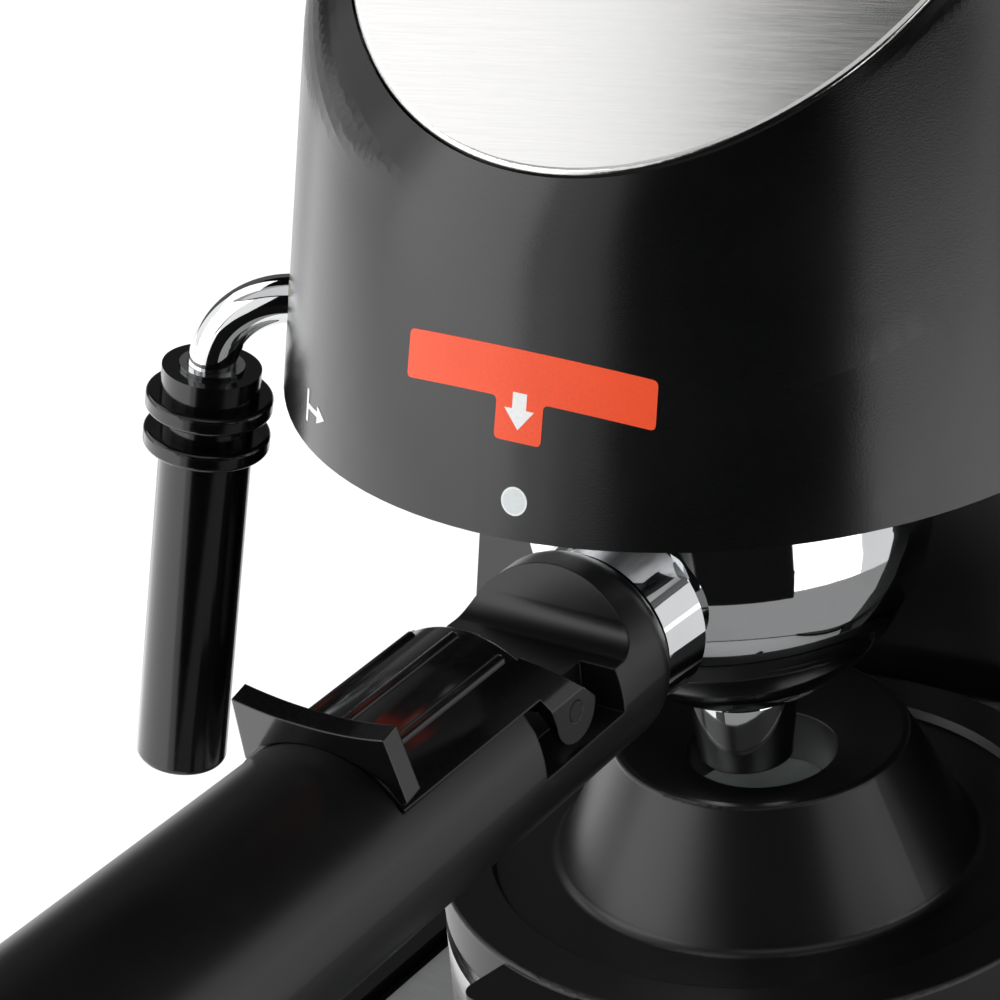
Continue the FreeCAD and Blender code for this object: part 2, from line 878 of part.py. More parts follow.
def tower_block(name, low, top, inset):
    """Rear column with its concave front, drawn in by an inset."""
    body = tapered(name, low, top, inset)
    front = f"(pillar_front + {inset})"
    wide = "(base_radius + 20)"
    pocket(body, "XY_Plane", [[(f"-{wide}", f"-{wide}"), (wide, f"-{wide}"), (wide, front),
                               (f"-{wide}", front)]], "head_bottom + 40", "0", back=True)
    pocket(body, "XY_Plane", [("0", "0", f"recess_radius + {inset}")],
           "head_bottom + 40", "0", back=True)
    return body


def make_tower():
    """Hollow tower that carries the head."""
    outer = tower_block("tower_skin", "deck_top", "head_bottom", "0")
    core = tower_block("tower_room", "deck_top - 1", "head_bottom + 1", "shell_wall")
    switch = block("base_radius - 60", "base_radius + 10", "switch_y - switch_half_wide - part_gap",
                   "switch_y + switch_half_wide + part_gap",
                   "switch_height - switch_half_high - part_gap",
                   "switch_height + switch_half_high + part_gap")
    node(cut(outer, core, switch), "tower_shell")


# Head: shell, floor, steel panel, filler collar


def head_block(name, low, inset):
    """Head solid under the slanted plane, drawn in by an inset."""
    body = tapered(name, low, f"head_top - {inset}", inset, head_plan)
    sliced = pocket(body, "YZ_Plane", [over_slant(inset)], "base_radius * 3", mid=True)
    return body, sliced


def on_brow(edge):
    """True for the edges round the slanted face and the flat top."""
    slope = math.tan(math.radians(size("slant_angle")))
    for vertex in edge.Vertexes:
        p = vertex.Point
        flat = abs(p.z - size("head_top")) < 0.05
        slanted = abs(p.z - size("slant_height") - p.y * slope) < 0.05
        if not (flat or slanted):
            return False
    return True


def brow_fillet(body):
    """Rounds the brow: widest at the front of the head and tighter along its sides."""
    doc.recompute()

    def radius(point):
        return size("brow_front" if point.y < -size("panel_front") else "brow_round")

    edges = []
    for i, edge in enumerate(body.Shape.Edges, start=1):
        if on_brow(edge):
            first, last = (edge.valueAt(t) for t in edge.ParameterRange)
            edges.append((i, radius(first), radius(last)))
    brow = doc.addObject("Part::Fillet", "brow")
    brow.Base = body
    brow.Edges = edges
    return brow


def side_hole(radius, y, height):
    """Cutter for a hole in the head's right side."""
    move = Placement(Vector(size("base_radius - 60"), size(y), size(height)), ALONG_X)
    return round_bar(radius, "0", "80", move=move)


def wand_frame(reach="0", down="0"):
    """Placement on the wand's radial axis: local X points outwards."""
    angle = size("wand_azimuth") - 90
    outwards = Rotation(Vector(0, 0, 1), angle).multVec(Vector(size(reach), 0, 0))
    return Placement(outwards + Vector(0, 0, size("wand_height") - size(down)),
                     Rotation(Vector(0, 0, 1), angle))


def make_head():
    """Head shell, its floor, the slanted steel panel and the collar round the filler."""
    skin, _ = head_block("head_skin", "head_bottom", "0")
    body = brow_fillet(skin)
    core, _ = head_block("head_room", "head_bottom - 1", "shell_wall")
    seat = ellipse_plate("part_gap", PANEL_SEAT, "20")
    filler = round_bar("collar_outer + part_gap", "boiler_top", "head_top + 20", y="filler_y")
    wand = round_bar("bush_outer + part_gap", "0", "60",
                     move=wand_frame("tube_start") * Placement(Vector(), ALONG_X))
    knob = side_hole("stem_radius + 1", "knob_y", "knob_height")
    lens = side_hole("lens_radius + part_gap", "lens_y", "lens_height")
    node(cut(body, core, seat, filler, wand, knob, lens), "head_shell")

    sheet = tapered("floor_sheet", "head_bottom", "head_bottom + floor_plate",
                    "shell_wall + part_gap", head_plan)
    mouth = round_bar("group_radius + part_gap", "head_bottom - 1", "head_bottom + 20")
    wires = block("-duct_half", "duct_half", "duct_front", "duct_front + 8", "head_bottom - 1",
                  "head_bottom + 20")
    holes = [round_bar("screw_radius + run_gap", "head_bottom - 1", "head_bottom + 20",
                       *screw_spot(i)) for i in range(4)]
    node(cut(sheet, mouth, wires, *holes), "head_floor")

    plate = ellipse_plate("0", PANEL_SEAT, "panel_thick")
    doc.recompute()
    out = panel_axes("0").Rotation.multVec(Vector(0, 0, 1))
    middle = panel_axes("0").Base
    edges = [i for i, edge in enumerate(plate.Shape.Edges, start=1)
             if (edge.CenterOfMass - middle).dot(out) > size("panel_proud") - 0.01]
    rounded = doc.addObject("Part::Fillet", "panel_edge")
    rounded.Base = plate
    radius = size("panel_round")
    rounded.Edges = [(i, radius, radius) for i in edges]
    node(cut(rounded, round_bar("collar_outer + part_gap", "head_bottom", "head_top + 20",
                                y="filler_y")), "top_panel")

    ring = turned("collar_ring", tube("collar_bore", "collar_outer", "collar_bottom", "head_top"),
                  at(y="filler_y"))
    lip = turned("collar_lip_ring", tube("collar_bore", "collar_outer + collar_lip",
                                         "collar_bottom", "head_top"), at(y="filler_y"))
    over = new_body("over_lip")
    pad(over, "YZ_Plane", [over_slant("-(panel_proud + collar_rise)")], "base_radius * 2", mid=True)
    above = new_body("above_panel")
    pad(above, "YZ_Plane", [over_slant("-panel_proud")], "base_radius * 2", mid=True)
    node(fuse(cut(ring, over), cut(common(lip, above), over)), "filler_collar")


# Group: bayonet ring, screws, gasket, shower screen


def screw_spot(i):
    """Place of one of the four flange screws."""
    angle = math.radians(45 + 90 * i)
    return (f"group_screw_circle * ({math.cos(angle):.6f})",
            f"group_screw_circle * ({math.sin(angle):.6f})")


def wedge(name, angle, half, reach, low, high):
    """Upright wedge from the brew axis, used for lugs and the gaps between ledges."""
    body = new_body(name, at(spin_z=angle))
    spread = f"({reach}) * tan({half})"
    pad(body, "XY_Plane", [[("0", "0"), (reach, f"-{spread}"), (reach, spread)]], high, low)
    return body


def make_group():
    """Bayonet ring under the boiler with its gasket, shower screen and screws."""
    flange_low = "(head_bottom + floor_plate)"
    flange_top = f"({flange_low} + flange_thick)"
    profile = [
        ("spout_bore", "group_ceiling"),
        (THROAT, "group_ceiling"),
        (THROAT, f"{LEDGE_TOP} + lug_high + 2 * face_gap + 0.6"),
        (CHANNEL, f"{LEDGE_TOP} + lug_high + 2 * face_gap + 0.6"),
        (CHANNEL, LEDGE_TOP),
        (THROAT, LEDGE_TOP),
        (THROAT, "group_bottom"),
        ("group_radius", "group_bottom"),
        ("group_radius", flange_low),
        ("group_flange", flange_low),
        ("group_flange", flange_top),
        ("group_radius", flange_top),
        ("group_radius", "group_top"),
        ("spout_bore", "group_top"),
    ]
    ring = turned("bayonet", profile)
    gaps = [common(wedge("gap", turn - size("insert_angle"), "slot_half", "group_radius * 1.5",
                         "group_bottom - 1", f"{LEDGE_TOP} - group_bottom + 1.01"),
                   round_bar(CHANNEL, "group_bottom - 1", LEDGE_TOP))
            for turn in (0, 180)]
    holes = [round_bar("screw_radius + run_gap", flange_low + " - 1", f"{flange_top} + 1",
                       *screw_spot(i)) for i in range(4)]
    node(cut(ring, *gaps, *holes), "brew_head")

    screws = []
    for i in range(4):
        x, y = screw_spot(i)
        screws.append(turned("flange_screw", [
            ("0", "head_bottom + 0.3"), ("screw_radius", "head_bottom + 0.3"),
            ("screw_radius", flange_top), ("screw_head", flange_top),
            ("screw_head", f"{flange_top} + screw_head_high - 0.7"),
            ("screw_head - 0.7", f"{flange_top} + screw_head_high", "0.7"),
            ("0", f"{flange_top} + screw_head_high")], at(x, y)))
    node(group(*screws), "group_screws")

    node(turned("gasket", tube("gasket_inner", "bowl_radius", GASKET_LOW, "group_ceiling")),
         "group_gasket")

    low = "(group_ceiling - screen_drop - screen_thick)"
    screen = turned("screen", [("0", low), ("screen_radius", low),
                               ("screen_radius", "group_ceiling"),
                               ("screen_radius - screen_thick", "group_ceiling"),
                               ("screen_radius - screen_thick", f"{low} + screen_thick"),
                               ("0", f"{low} + screen_thick")])
    for circle, count in (("screen_radius * 0.4", "8"), ("screen_radius * 0.64", "14"),
                          ("screen_radius * 0.86", "20")):
        hole = pocket(screen, "XY_Plane", [(circle, "0", "screen_hole")], "screen_thick + 2",
                      f"{low} - 1", back=True)
        round_pattern(screen, hole, count)
    pocket(screen, "XY_Plane", [("0", "0", "screw_radius + run_gap")], "screen_thick + 2",
           f"{low} - 1", back=True)
    node(screen, "shower_screen")

    node(turned("screen_screw", [("0", f"{low} - screw_head_high"),
                                 ("screw_head - 0.7", f"{low} - screw_head_high"),
                                 ("screw_head", f"{low} - screw_head_high + 0.7", "0.7"),
                                 ("screw_head", low), ("screw_radius", low),
                                 ("screw_radius", "group_top - 0.5"), ("0", "group_top - 0.5")]),
         "screen_screw")


# Boiler, heater, thermostats, cap


def make_boiler():
    """Aluminium boiler with its filler neck, heater ring and thermostats."""
    inner = "(boiler_radius - boiler_wall)"
    boiler = turned("boiler_pot", [
        ("spout_bore", "group_top"), ("boiler_radius - 4", "group_top"),
        ("boiler_radius", "group_top + 4", "4"), ("boiler_radius", "boiler_top - 5"),
        ("boiler_radius - 5", "boiler_top", "5"), ("0", "boiler_top"),
        ("0", "group_top + boiler_wall"), ("spout_bore", "group_top + boiler_wall")])
    neck = round_bar("neck_outer", "boiler_top - 1", "neck_top", y="filler_y")
    mouth = round_bar("neck_bore", "boiler_top - 2 * boiler_wall", "neck_top + 1", y="filler_y")
    root = "(boiler_radius - 4 * boiler_wall)"
    boss = round_bar("boss_radius", "0", f"valve_inner - {root}",
                     move=at(root, "knob_y", "knob_height", tilt=ALONG_X))
    room = turned("boiler_room", [
        ("0", "group_top + boiler_wall"), (inner, "group_top + boiler_wall"),
        (inner, "boiler_top - boiler_wall - 3"), (f"{inner} - 3", "boiler_top - boiler_wall", "3"),
        ("0", "boiler_top - boiler_wall")])
    bore = round_bar("steam_bore", "0", f"valve_inner - {root} + 11",
                     move=at(f"{root} - 10", "knob_y", "knob_height", tilt=ALONG_X))
    node(cut(fuse(boiler, boss, neck), room, bore, mouth), "boiler")

    reach = "(boiler_radius + part_gap / 2)"
    heater = turned("heater", tube(reach, f"{reach} + heater_thick", "heater_low",
                                   "heater_low + heater_high"))
    ends = []
    for side in ("-6", "6"):
        ends.append(round_bar("1.6", "heater_low + heater_high - 1", "heater_low + heater_high + 9",
                              side, f"{reach} + heater_thick / 2"))
    node(fuse(heater, *ends), "heater_ring")

    pucks = []
    for angle in (-20, 200):
        c, s = math.cos(math.radians(angle)), math.sin(math.radians(angle))
        spot = (f"puck_circle * ({c:.6f})", f"puck_circle * ({s:.6f})")
        drum = round_bar("puck_radius", "boiler_top", "boiler_top + puck_high", *spot)
        top = round_bar("puck_radius - 2", "boiler_top + puck_high", "boiler_top + puck_high + 3",
                        *spot)
        pucks.append(fuse(drum, top))
    node(group(*pucks), "thermostats")


def make_cap():
    """Screw cap with its plug, seal, relief valve and spring."""
    seal = tube(f"{PLUG_RADIUS} + part_gap", "plug_flange", "neck_top", PLUG_SEAT)
    filler = at(y="filler_y")
    node(turned("seal", seal, filler), "cap_seal")

    low = "(neck_top - plug_length)"
    node(turned("plug", [
        ("seat_bore", low), (f"{PLUG_RADIUS} - 1", low), (PLUG_RADIUS, f"{low} + 1"),
        (PLUG_RADIUS, PLUG_SEAT), ("plug_flange", PLUG_SEAT), ("plug_flange", PLUG_TOP),
        ("valve_bore", PLUG_TOP), ("valve_bore", f"{low} + 3"), ("seat_bore", f"{low} + 3")],
        filler), "cap_plug")

    seat = f"({low} + 3)"
    disc_top = f"({seat} + valve_disc_high)"
    node(turned("relief", [
        ("0", f"{low} + 0.5"), ("seat_bore - 0.4", f"{low} + 0.5"), ("seat_bore - 0.4", seat),
        ("valve_disc", seat), ("valve_disc", disc_top), ("valve_stem", disc_top),
        ("valve_stem", f"{PLUG_TOP} - valve_lift - 1"), ("0", f"{PLUG_TOP} - valve_lift - 1")],
        filler), "relief_valve")

    room = f"({PLUG_TOP} - {disc_top} - 2 * spring_wire - 0.1)"
    helix = Part.makeHelix(size(f"{room} / spring_turns"), size(room), size("spring_radius"))
    wire = Part.Wire(helix.Edges)
    start = Vector(size("spring_radius"), 0, 0)
    profile = Part.Wire(Part.makeCircle(size("spring_wire"), start, Vector(0, 1, 0)))
    spring = doc.addObject("Part::Feature", "spring")
    spring.Shape = wire.makePipeShell([profile], True, True)
    node(spring, "relief_spring", at(y="filler_y", z=f"{disc_top} + spring_wire + 0.05"))

    cap = turned("cap", [
        ("0", PLUG_TOP), ("plug_flange + run_gap", PLUG_TOP),
        ("plug_flange + run_gap", f"{PLUG_SEAT} + 0.4"),
        ("neck_outer + face_gap", f"{PLUG_SEAT} + 0.4"), ("neck_outer + face_gap", "cap_skirt"),
        ("cap_radius - 0.8", "cap_skirt"), ("cap_radius", "cap_skirt + 0.8", "0.8"),
        ("cap_radius - 1", "cap_top - 5"), ("cap_radius - 6", "cap_top", "5.2"),
        ("9", "cap_top"), ("8", "cap_top - 0.8"), ("0", "cap_top - 0.8")], filler)
    flute = pocket(cap, "XY_Plane", [("cap_radius + flute_radius - 1.3", "0", "flute_radius")],
                   "cap_top - cap_skirt - 16", "cap_skirt + 14", back=True)
    round_pattern(cap, flute, "cap_flutes")
    node(cap, "boiler_cap")


# Holder: bowl, spout, basket, handle, bolt, clip and pin


def handle_frame():
    """Placement on the handle's axis: local Z runs out along the handle and local Y is up."""
    return Placement(Vector(0, 0, size("handle_height")), ALONG_FRONT)


def make_holder():
    """Chrome bowl with neck and lugs, spout, filter basket."""
    body = new_body("bowl_body")
    drop = "(bowl_straight - bowl_bottom)"
    knee = "(spout_top + 1.6)"
    spin(body, [
        ("0", "bowl_bottom"), (knee, "bowl_bottom"),
        (f"bowl_radius - 5", f"bowl_bottom + {drop} * 0.45", f"{drop}"),
        ("bowl_radius", "bowl_straight", f"{drop}"), ("bowl_radius", "bowl_top"),
        ("0", "bowl_top")])
    pad(body, "XZ_Plane", [("0", "handle_height", "neck_root")], "neck_start - bowl_radius + 8",
        "bowl_radius - 8")
    neck = sketch(body, "XZ_Plane", [("0", "handle_height", "neck_flare")], "neck_start - 0.4")
    mouth = sketch(body, "XZ_Plane", [("0", "handle_height", "neck_radius")], "neck_end")
    loft = body.newObject("PartDesign::AdditiveLoft", "neck")
    loft.Profile = neck
    loft.Sections = [mouth]
    pad(body, "XZ_Plane", [("0", "handle_height", "tang_radius")], "tang_end - bowl_radius + 5",
        "bowl_radius - 5")
    inner = "(bowl_radius - bowl_wall)"
    spin(body, [
        ("0", "bowl_bottom + bowl_wall"), (f"{knee} - 1", "bowl_bottom + bowl_wall"),
        (f"{inner} - 5", f"bowl_bottom + bowl_wall + {drop} * 0.45", f"{drop}"),
        (inner, "bowl_straight + bowl_wall", f"{drop}"), (inner, "bowl_top + 1"),
        ("0", "bowl_top + 1")], "PartDesign::Groove")
    pocket(body, "XY_Plane", [("0", "0", "spout_stub + run_gap")], "bowl_wall + 10",
           "bowl_bottom - 1", back=True)
    pocket(body, "XZ_Plane", [("0", "handle_height", "bolt_radius + run_gap")], "24",
           "tang_end - 24", back=True)
    lugs = [common(wedge("lug", turn, "lug_half", "lug_reach * 1.5", "lug_bottom", "lug_high"),
                   turned("lug_ring", tube("bowl_radius - 1", "lug_reach", "lug_bottom",
                                           "lug_bottom + lug_high")))
            for turn in (0, 180)]
    node(fuse(body, *lugs), "holder_bowl")

    node(turned("spout", [
        ("spout_bore", "spout_bottom + 0.8"), ("spout_bore + 0.8", "spout_bottom"),
        ("spout_tip - 0.8", "spout_bottom"), ("spout_tip", "spout_bottom + 0.8", "0.8"),
        ("spout_top", "bowl_bottom - 1.4"), ("spout_top - 0.7", "bowl_bottom - 0.7", "0.7"),
        ("spout_top - 0.7", "bowl_bottom"), ("spout_stub", "bowl_bottom"),
        ("spout_stub", "bowl_bottom + bowl_wall"), ("spout_bore", "bowl_bottom + bowl_wall")]),
        "holder_spout")

    basket = turned("basket", [
        ("0", "bowl_top - basket_depth"), ("basket_radius - 2", "bowl_top - basket_depth"),
        ("basket_radius", "bowl_top - basket_depth + 2", "2"),
        ("basket_radius", "bowl_top"), ("basket_flange", "bowl_top"),
        ("basket_flange", "bowl_top + basket_sheet"),
        ("basket_radius - basket_sheet", "bowl_top + basket_sheet"),
        ("basket_radius - basket_sheet", "bowl_top - basket_depth + 2"),
        ("basket_radius - 2", "bowl_top - basket_depth + basket_sheet", "-1.2"),
        ("0", "bowl_top - basket_depth + basket_sheet")])
    for circle, count in (("8", "8"), ("14", "14"), ("20", "20")):
        hole = pocket(basket, "XY_Plane", [(circle, "0", "screen_hole")], "4",
                      "bowl_top - basket_depth - 2", back=True)
        round_pattern(basket, hole, count)
    node(basket, "filter_basket")


def make_handle():
    """Handle with its saddle for the clip, and the long bolt that holds it."""
    handle = new_body("handle_body", handle_frame())
    spin(handle, [
        ("tang_radius + run_gap", "neck_end"), ("handle_throat", "neck_end"),
        ("handle_front", "neck_end + handle_lead", "handle_lead"),
        ("handle_rear", "handle_end - handle_dome"),
        ("handle_rear - handle_dome + 2", "handle_end", "handle_dome + 1"),
        ("bolt_head + part_gap", "handle_end"), ("bolt_head + part_gap", "handle_end - bolt_sink"),
        ("bolt_radius + part_gap", "handle_end - bolt_sink"),
        ("bolt_radius + part_gap", "tang_end + face_gap"),
        ("tang_radius + run_gap", "tang_end + face_gap")])
    wide = "(handle_rear + 6)"
    tall = "(handle_rear + 20)"
    pocket(handle, "YZ_Plane", [[("saddle_high", "saddle_rear"), (tall, "saddle_rear + 3"),
                                 (tall, "saddle_front - 8"), ("saddle_high + 4", "saddle_front"),
                                 ("saddle_high", "saddle_front + 4", "-4.6")]],
           f"2 * {wide}", mid=True)
    for side in (("cheek_half", wide), (f"-{wide}", "-cheek_half")):
        pocket(handle, "XY_Plane", [[(side[0], "cheek_low"), (side[1], "cheek_low"),
                                     (side[1], tall), (side[0], tall)]],
               "saddle_rear - cheek_front", "cheek_front", back=True)
    low = "(clip_low - face_gap)"
    rest = "(clip_rest - face_gap)"
    pocket(handle, "XY_Plane", [arch(rest, "(handle_rear + 5)", low)],
           "clip_rear + face_gap - cheek_front", "cheek_front", back=True)
    holes = [round_bar("pin_radius", "0", "ear_outer - pin_root", move=handle_frame() * Placement(
        Vector(x, size("pin_high"), size("pin_reach")), ALONG_X))
        for x in (size("pin_root"), -size("ear_outer"))]
    node(cut(handle, *holes), "holder_handle")

    head = "(handle_end - bolt_sink)"
    node(turned("bolt", [
        ("0", "tang_end - 20"), ("bolt_radius", "tang_end - 20"), ("bolt_radius", head),
        ("bolt_head", head), ("bolt_head", f"{head} + 4"), ("bolt_head - 0.8", f"{head} + 4.8", "0.8"),
        ("0", f"{head} + 4.8")], handle_frame()), "handle_bolt")


def arch(inner, outer, low):
    """Cross-section of an arch round the handle's axis, cut off level at its foot."""
    near = f"sqrt({inner}^2 - {low}^2)"
    far = f"sqrt({outer}^2 - {low}^2)"
    return [(far, low), ("0", outer, outer), (f"-{far}", low, outer), (f"-{near}", low),
            ("0", inner, f"-{inner}"), (near, low, f"-{inner}")]


def make_clip():
    """Filter clip let into the handle: ribbed arch, two ears, thumb lip, and its two pins."""
    clip = new_body("clip_body", handle_frame())
    pad(clip, "XY_Plane", [arch("clip_rest", "clip_top", "clip_low")], "clip_rear - clip_front",
        "clip_front")
    for side in ("ear_inner", "-ear_outer"):
        outline = [("pin_high", "pin_reach + ear_round", "-ear_round"),
                   ("clip_low + 3.4", "pin_reach + ear_round + 3"), ("clip_low + 5.4", "clip_front"),
                   ("pin_high", "pin_reach - ear_round"),
                   ("pin_high - ear_round", "pin_reach", "-ear_round")]
        pad(clip, "YZ_Plane", [outline], "ear_outer - ear_inner", side)
    pocket(clip, "XY_Plane", [("0", "0", "clip_rest")], "clip_rear", "clip_front - 30", back=True)
    spin(clip, tube("clip_top", "clip_top + 15", "clip_front - 30", "clip_rear + 1"),
         "PartDesign::Groove")
    pocket(clip, "YZ_Plane", [("pin_high", "pin_reach", "pin_radius + run_gap")],
           "4 * ear_outer", mid=True)
    ribs = []
    for i in range(int(size("clip_ribs"))):
        turn = math.radians((i - (size("clip_ribs") - 1) / 2) * size("rib_pitch"))
        x = f"(clip_top - 0.2) * ({math.sin(turn):.6f})"
        y = f"(clip_top - 0.2) * ({math.cos(turn):.6f})"
        ribs.append(round_bar("rib_radius", "0", "clip_rear - clip_front - 3", move=handle_frame()
                    * at(x, y, "clip_front + 2")))
    lip = new_body("lip_body", handle_frame() * Placement(
        Vector(0, size("clip_rest"), size("clip_rear - lip_thick")),
        Rotation(Vector(1, 0, 0), size("lip_lean"))))
    crest = "(lip_mid - clip_rest)"
    horn = "(lip_corner - clip_rest)"
    foot = "(clip_low - clip_rest + 1.4)"
    bow = f"((lip_half^2 + ({horn} - {crest})^2) / (2 * ({horn} - {crest})))"
    pad(lip, "XY_Plane", [[("lip_half + 1.4", foot), ("lip_half + 0.4", horn),
                           ("0", crest, f"-{bow}"), ("-lip_half - 0.4", horn, f"-{bow}"),
                           ("-lip_half - 1.4", foot)]], "lip_thick")
    pocket(lip, "XY_Plane", [("0", "-clip_rest", "handle_rear - 0.4")], "4 * lip_thick",
           "-lip_thick", back=True)
    node(fuse(clip, lip, *ribs), "filter_clip")
    pins = [round_bar("pin_radius", "0", "ear_outer - pin_root", move=handle_frame() * Placement(
        Vector(x, size("pin_high"), size("pin_reach")), ALONG_X))
        for x in (size("pin_root"), -size("ear_outer"))]
    node(group(*pins), "clip_pins")


# Steam side: wand, sleeve, valve, knob, pipe


def make_wand():
    """Bent steam tube with its nozzle, the bush in the head, and the frothing sleeve."""
    tube_body = new_body("tube_body", wand_frame())
    lean = "tube_lean"
    turn_x = "tube_turn"
    bend_end_x = f"({turn_x} + tube_bend * cos({lean}))"
    bend_end_z = f"(-tube_bend * (1 - sin({lean})))"
    end_x = f"({bend_end_x} + tube_length * sin({lean}))"
    end_z = f"({bend_end_z} - tube_length * cos({lean}))"
    spine = tube_body.newObject("Sketcher::SketchObject", "spine")
    plane = next(o for o in tube_body.Origin.OriginFeatures if o.Role == "XZ_Plane")
    spine.AttachmentSupport = [(plane, "")]
    spine.MapMode = "FlatFace"
    points = [("tube_start", "0"), (turn_x, "0"), (bend_end_x, bend_end_z), (end_x, end_z)]
    spots = [Vector(size(x), size(z), 0) for x, z in points]
    middle = arc_middle(spots[1], spots[2], size("tube_bend"), -1)
    first = spine.addGeometry(Part.LineSegment(spots[0], spots[1]))
    bend = spine.addGeometry(Part.Arc(spots[1], middle, spots[2]))
    last = spine.addGeometry(Part.LineSegment(spots[2], spots[3]))
    near = 1 if spine.getPoint(bend, 1).distanceToPoint(spots[1]) < 1e-6 else 2
    spine.addConstraint(Sketcher.Constraint("Coincident", first, 2, bend, near))
    spine.addConstraint(Sketcher.Constraint("Coincident", bend, 3 - near, last, 1))
    pin_point(spine, first, 1, *points[0])
    pin_point(spine, first, 2, *points[1])
    pin_point(spine, last, 1, *points[2])
    pin_point(spine, last, 2, *points[3])
    index = spine.addConstraint(Sketcher.Constraint("Radius", bend, size("tube_bend")))
    drive(spine, f"Constraints[{index}]", "tube_bend")
    section = sketch(tube_body, "YZ_Plane", [("0", "0", "tube_radius")], "tube_start")
    pipe = tube_body.newObject("PartDesign::AdditivePipe", "pipe")
    pipe.Profile = section
    pipe.Spine = (spine, [])
    bore = sketch(tube_body, "YZ_Plane", [("0", "0", "tube_radius - tube_wall")], "tube_start")
    hollow = tube_body.newObject("PartDesign::SubtractivePipe", "hollow")
    hollow.Profile = bore
    hollow.Spine = (spine, [])
    node(tube_body, "steam_tube")

    down = wand_frame() * Placement(Vector(size(bend_end_x), 0, size(bend_end_z)),
                                    Rotation(Vector(0, 1, 0), 180 - size(lean)))
    node(turned("nozzle", [
        ("1.2", "tube_length"), ("tube_radius", "tube_length"), ("nozzle_radius", "tube_length + 1.5"),
        ("nozzle_radius", "tube_length + nozzle_high - 2"),
        ("nozzle_radius - 2", "tube_length + nozzle_high", "2"),
        ("1.2", "tube_length + nozzle_high")], down), "steam_nozzle")

    bush_move = wand_frame() * Placement(Vector(), ALONG_X)
    inside = "(wand_skin - shell_wall - bush_back)"
    node(turned("bush", [
        ("tube_radius + run_gap", f"{inside} - bush_lip_high"),
        ("bush_flange", f"{inside} - bush_lip_high"), ("bush_flange", inside),
        ("bush_outer", inside), ("bush_outer", "wand_skin - bush_shy"),
        ("tube_radius + run_gap", "wand_skin - bush_shy")], bush_move), "wand_bush")

    end = "(sleeve_length)"
    profile = [(SLEEVE_TOP_BORE, "0"), ("sleeve_cap", "0")]
    for i in range(2):
        high = f"(ring_down + {i} * ring_pitch)"
        profile += [("sleeve_cap" if i == 0 else "sleeve_radius", high),
                    ("sleeve_ring - 0.7", high), ("sleeve_ring", f"{high} + 0.7", "0.7"),
                    ("sleeve_ring", f"{high} + ring_high - 0.7"),
                    ("sleeve_ring - 0.7", f"{high} + ring_high", "0.7"),
                    ("sleeve_radius", f"{high} + ring_high")]
    profile += [("sleeve_radius", f"{end} - 1.2"), ("sleeve_radius - 1.2", end, "1.2"),
                ("sleeve_bore", end), ("sleeve_bore", "ferrule_high"),
                (SLEEVE_TOP_BORE, "ferrule_high")]
    node(turned("sleeve", profile, down * at(z="sleeve_down")), "froth_sleeve")

    node(turned("ferrule", tube("tube_radius + run_gap", "ferrule_radius", "-ferrule_proud",
                                "ferrule_high"), down * at(z="sleeve_down")), "sleeve_ferrule")


def make_valve():
    """Steam valve on the boiler, its stem and knob, and the pipe to the wand."""
    body = block("valve_inner", "valve_outer", "knob_y - valve_half", "knob_y + valve_half",
                 "valve_low", "valve_top")
    bore = round_bar("stem_radius + run_gap", "0", "valve_long",
                     move=at("stem_root - part_gap", "knob_y", "knob_height", tilt=ALONG_X))
    inlet = round_bar("steam_bore", "0", "stem_in + 3.5",
                      move=at("valve_inner - 1", "knob_y", "knob_height", tilt=ALONG_X))
    node(cut(body, bore, inlet), "steam_valve")

    along = Placement(Vector(0, size("knob_y"), size("knob_height")), ALONG_X)
    node(turned("stem", [("0", "stem_root"), ("stem_radius", "stem_root"),
                         ("stem_radius", "knob_outer - 6"), ("0", "knob_outer - 6")], along),
         "valve_stem")

    knob = turned("knob", [
        ("stem_radius + run_gap", "knob_inner"), ("knob_radius - 1", "knob_inner"),
        ("knob_radius", "knob_inner + 1", "1"), ("knob_radius - 1.5", "knob_outer - 3"),
        ("knob_radius - 4.5", "knob_outer", "3.1"), ("0", "knob_outer"), ("0", "knob_outer - 5.9"),
        ("stem_radius + run_gap", "knob_outer - 5.9")], along)
    for side in ("1", "-1"):
        pocket(knob, "XY_Plane", [[
            ("-knob_radius * 1.2", f"{side} * (knob_grip + 3)"),
            ("knob_radius * 1.2", f"{side} * (knob_grip + 3)"),
            ("knob_radius * 1.2", f"{side} * (knob_radius + 5)"),
            ("-knob_radius * 1.2", f"{side} * (knob_radius + 5)")]],
            "knob_outer", "knob_inner + 7", back=True)
    node(knob, "selector_knob")

    # The pipe lies on a circle round the boiler and ends square against the valve
    turn = size("wand_azimuth")
    ring = size("pipe_circle")
    level = size("pipe_height")

    def on_ring(azimuth):
        angle = math.radians(azimuth)
        return Vector(ring * math.sin(angle), -ring * math.cos(angle), level)

    arc = Part.Arc(on_ring(turn), on_ring((turn + 90) / 2), on_ring(90)).toShape()
    tail_end = Vector(ring, size("knob_y - valve_half"), level)
    tail = Part.makeLine(on_ring(90), tail_end)
    route = Part.Wire([arc, tail])
    start = on_ring(turn)
    heading = Vector(math.cos(math.radians(turn)), math.sin(math.radians(turn)), 0)
    profile = Part.Wire(Part.makeCircle(size("pipe_radius"), start, heading))
    pipe = doc.addObject("Part::Feature", "pipe_run")
    pipe.Shape = route.makePipeShell([profile], True, True)
    block_move = wand_frame("tube_start - face_gap")
    union = doc.addObject("Part::Box", "union")
    drive(union, "Length", "union_deep")
    drive(union, "Width", "union_half * 2")
    drive(union, "Height", "union_half * 2")
    half = size("union_half")
    rise = size("pipe_up / 2")
    union.Placement = block_move * Placement(Vector(-size("union_deep"), -half, rise - half),
                                             Rotation())
    node(fuse(pipe, union), "steam_pipe")


# Switch, lamp


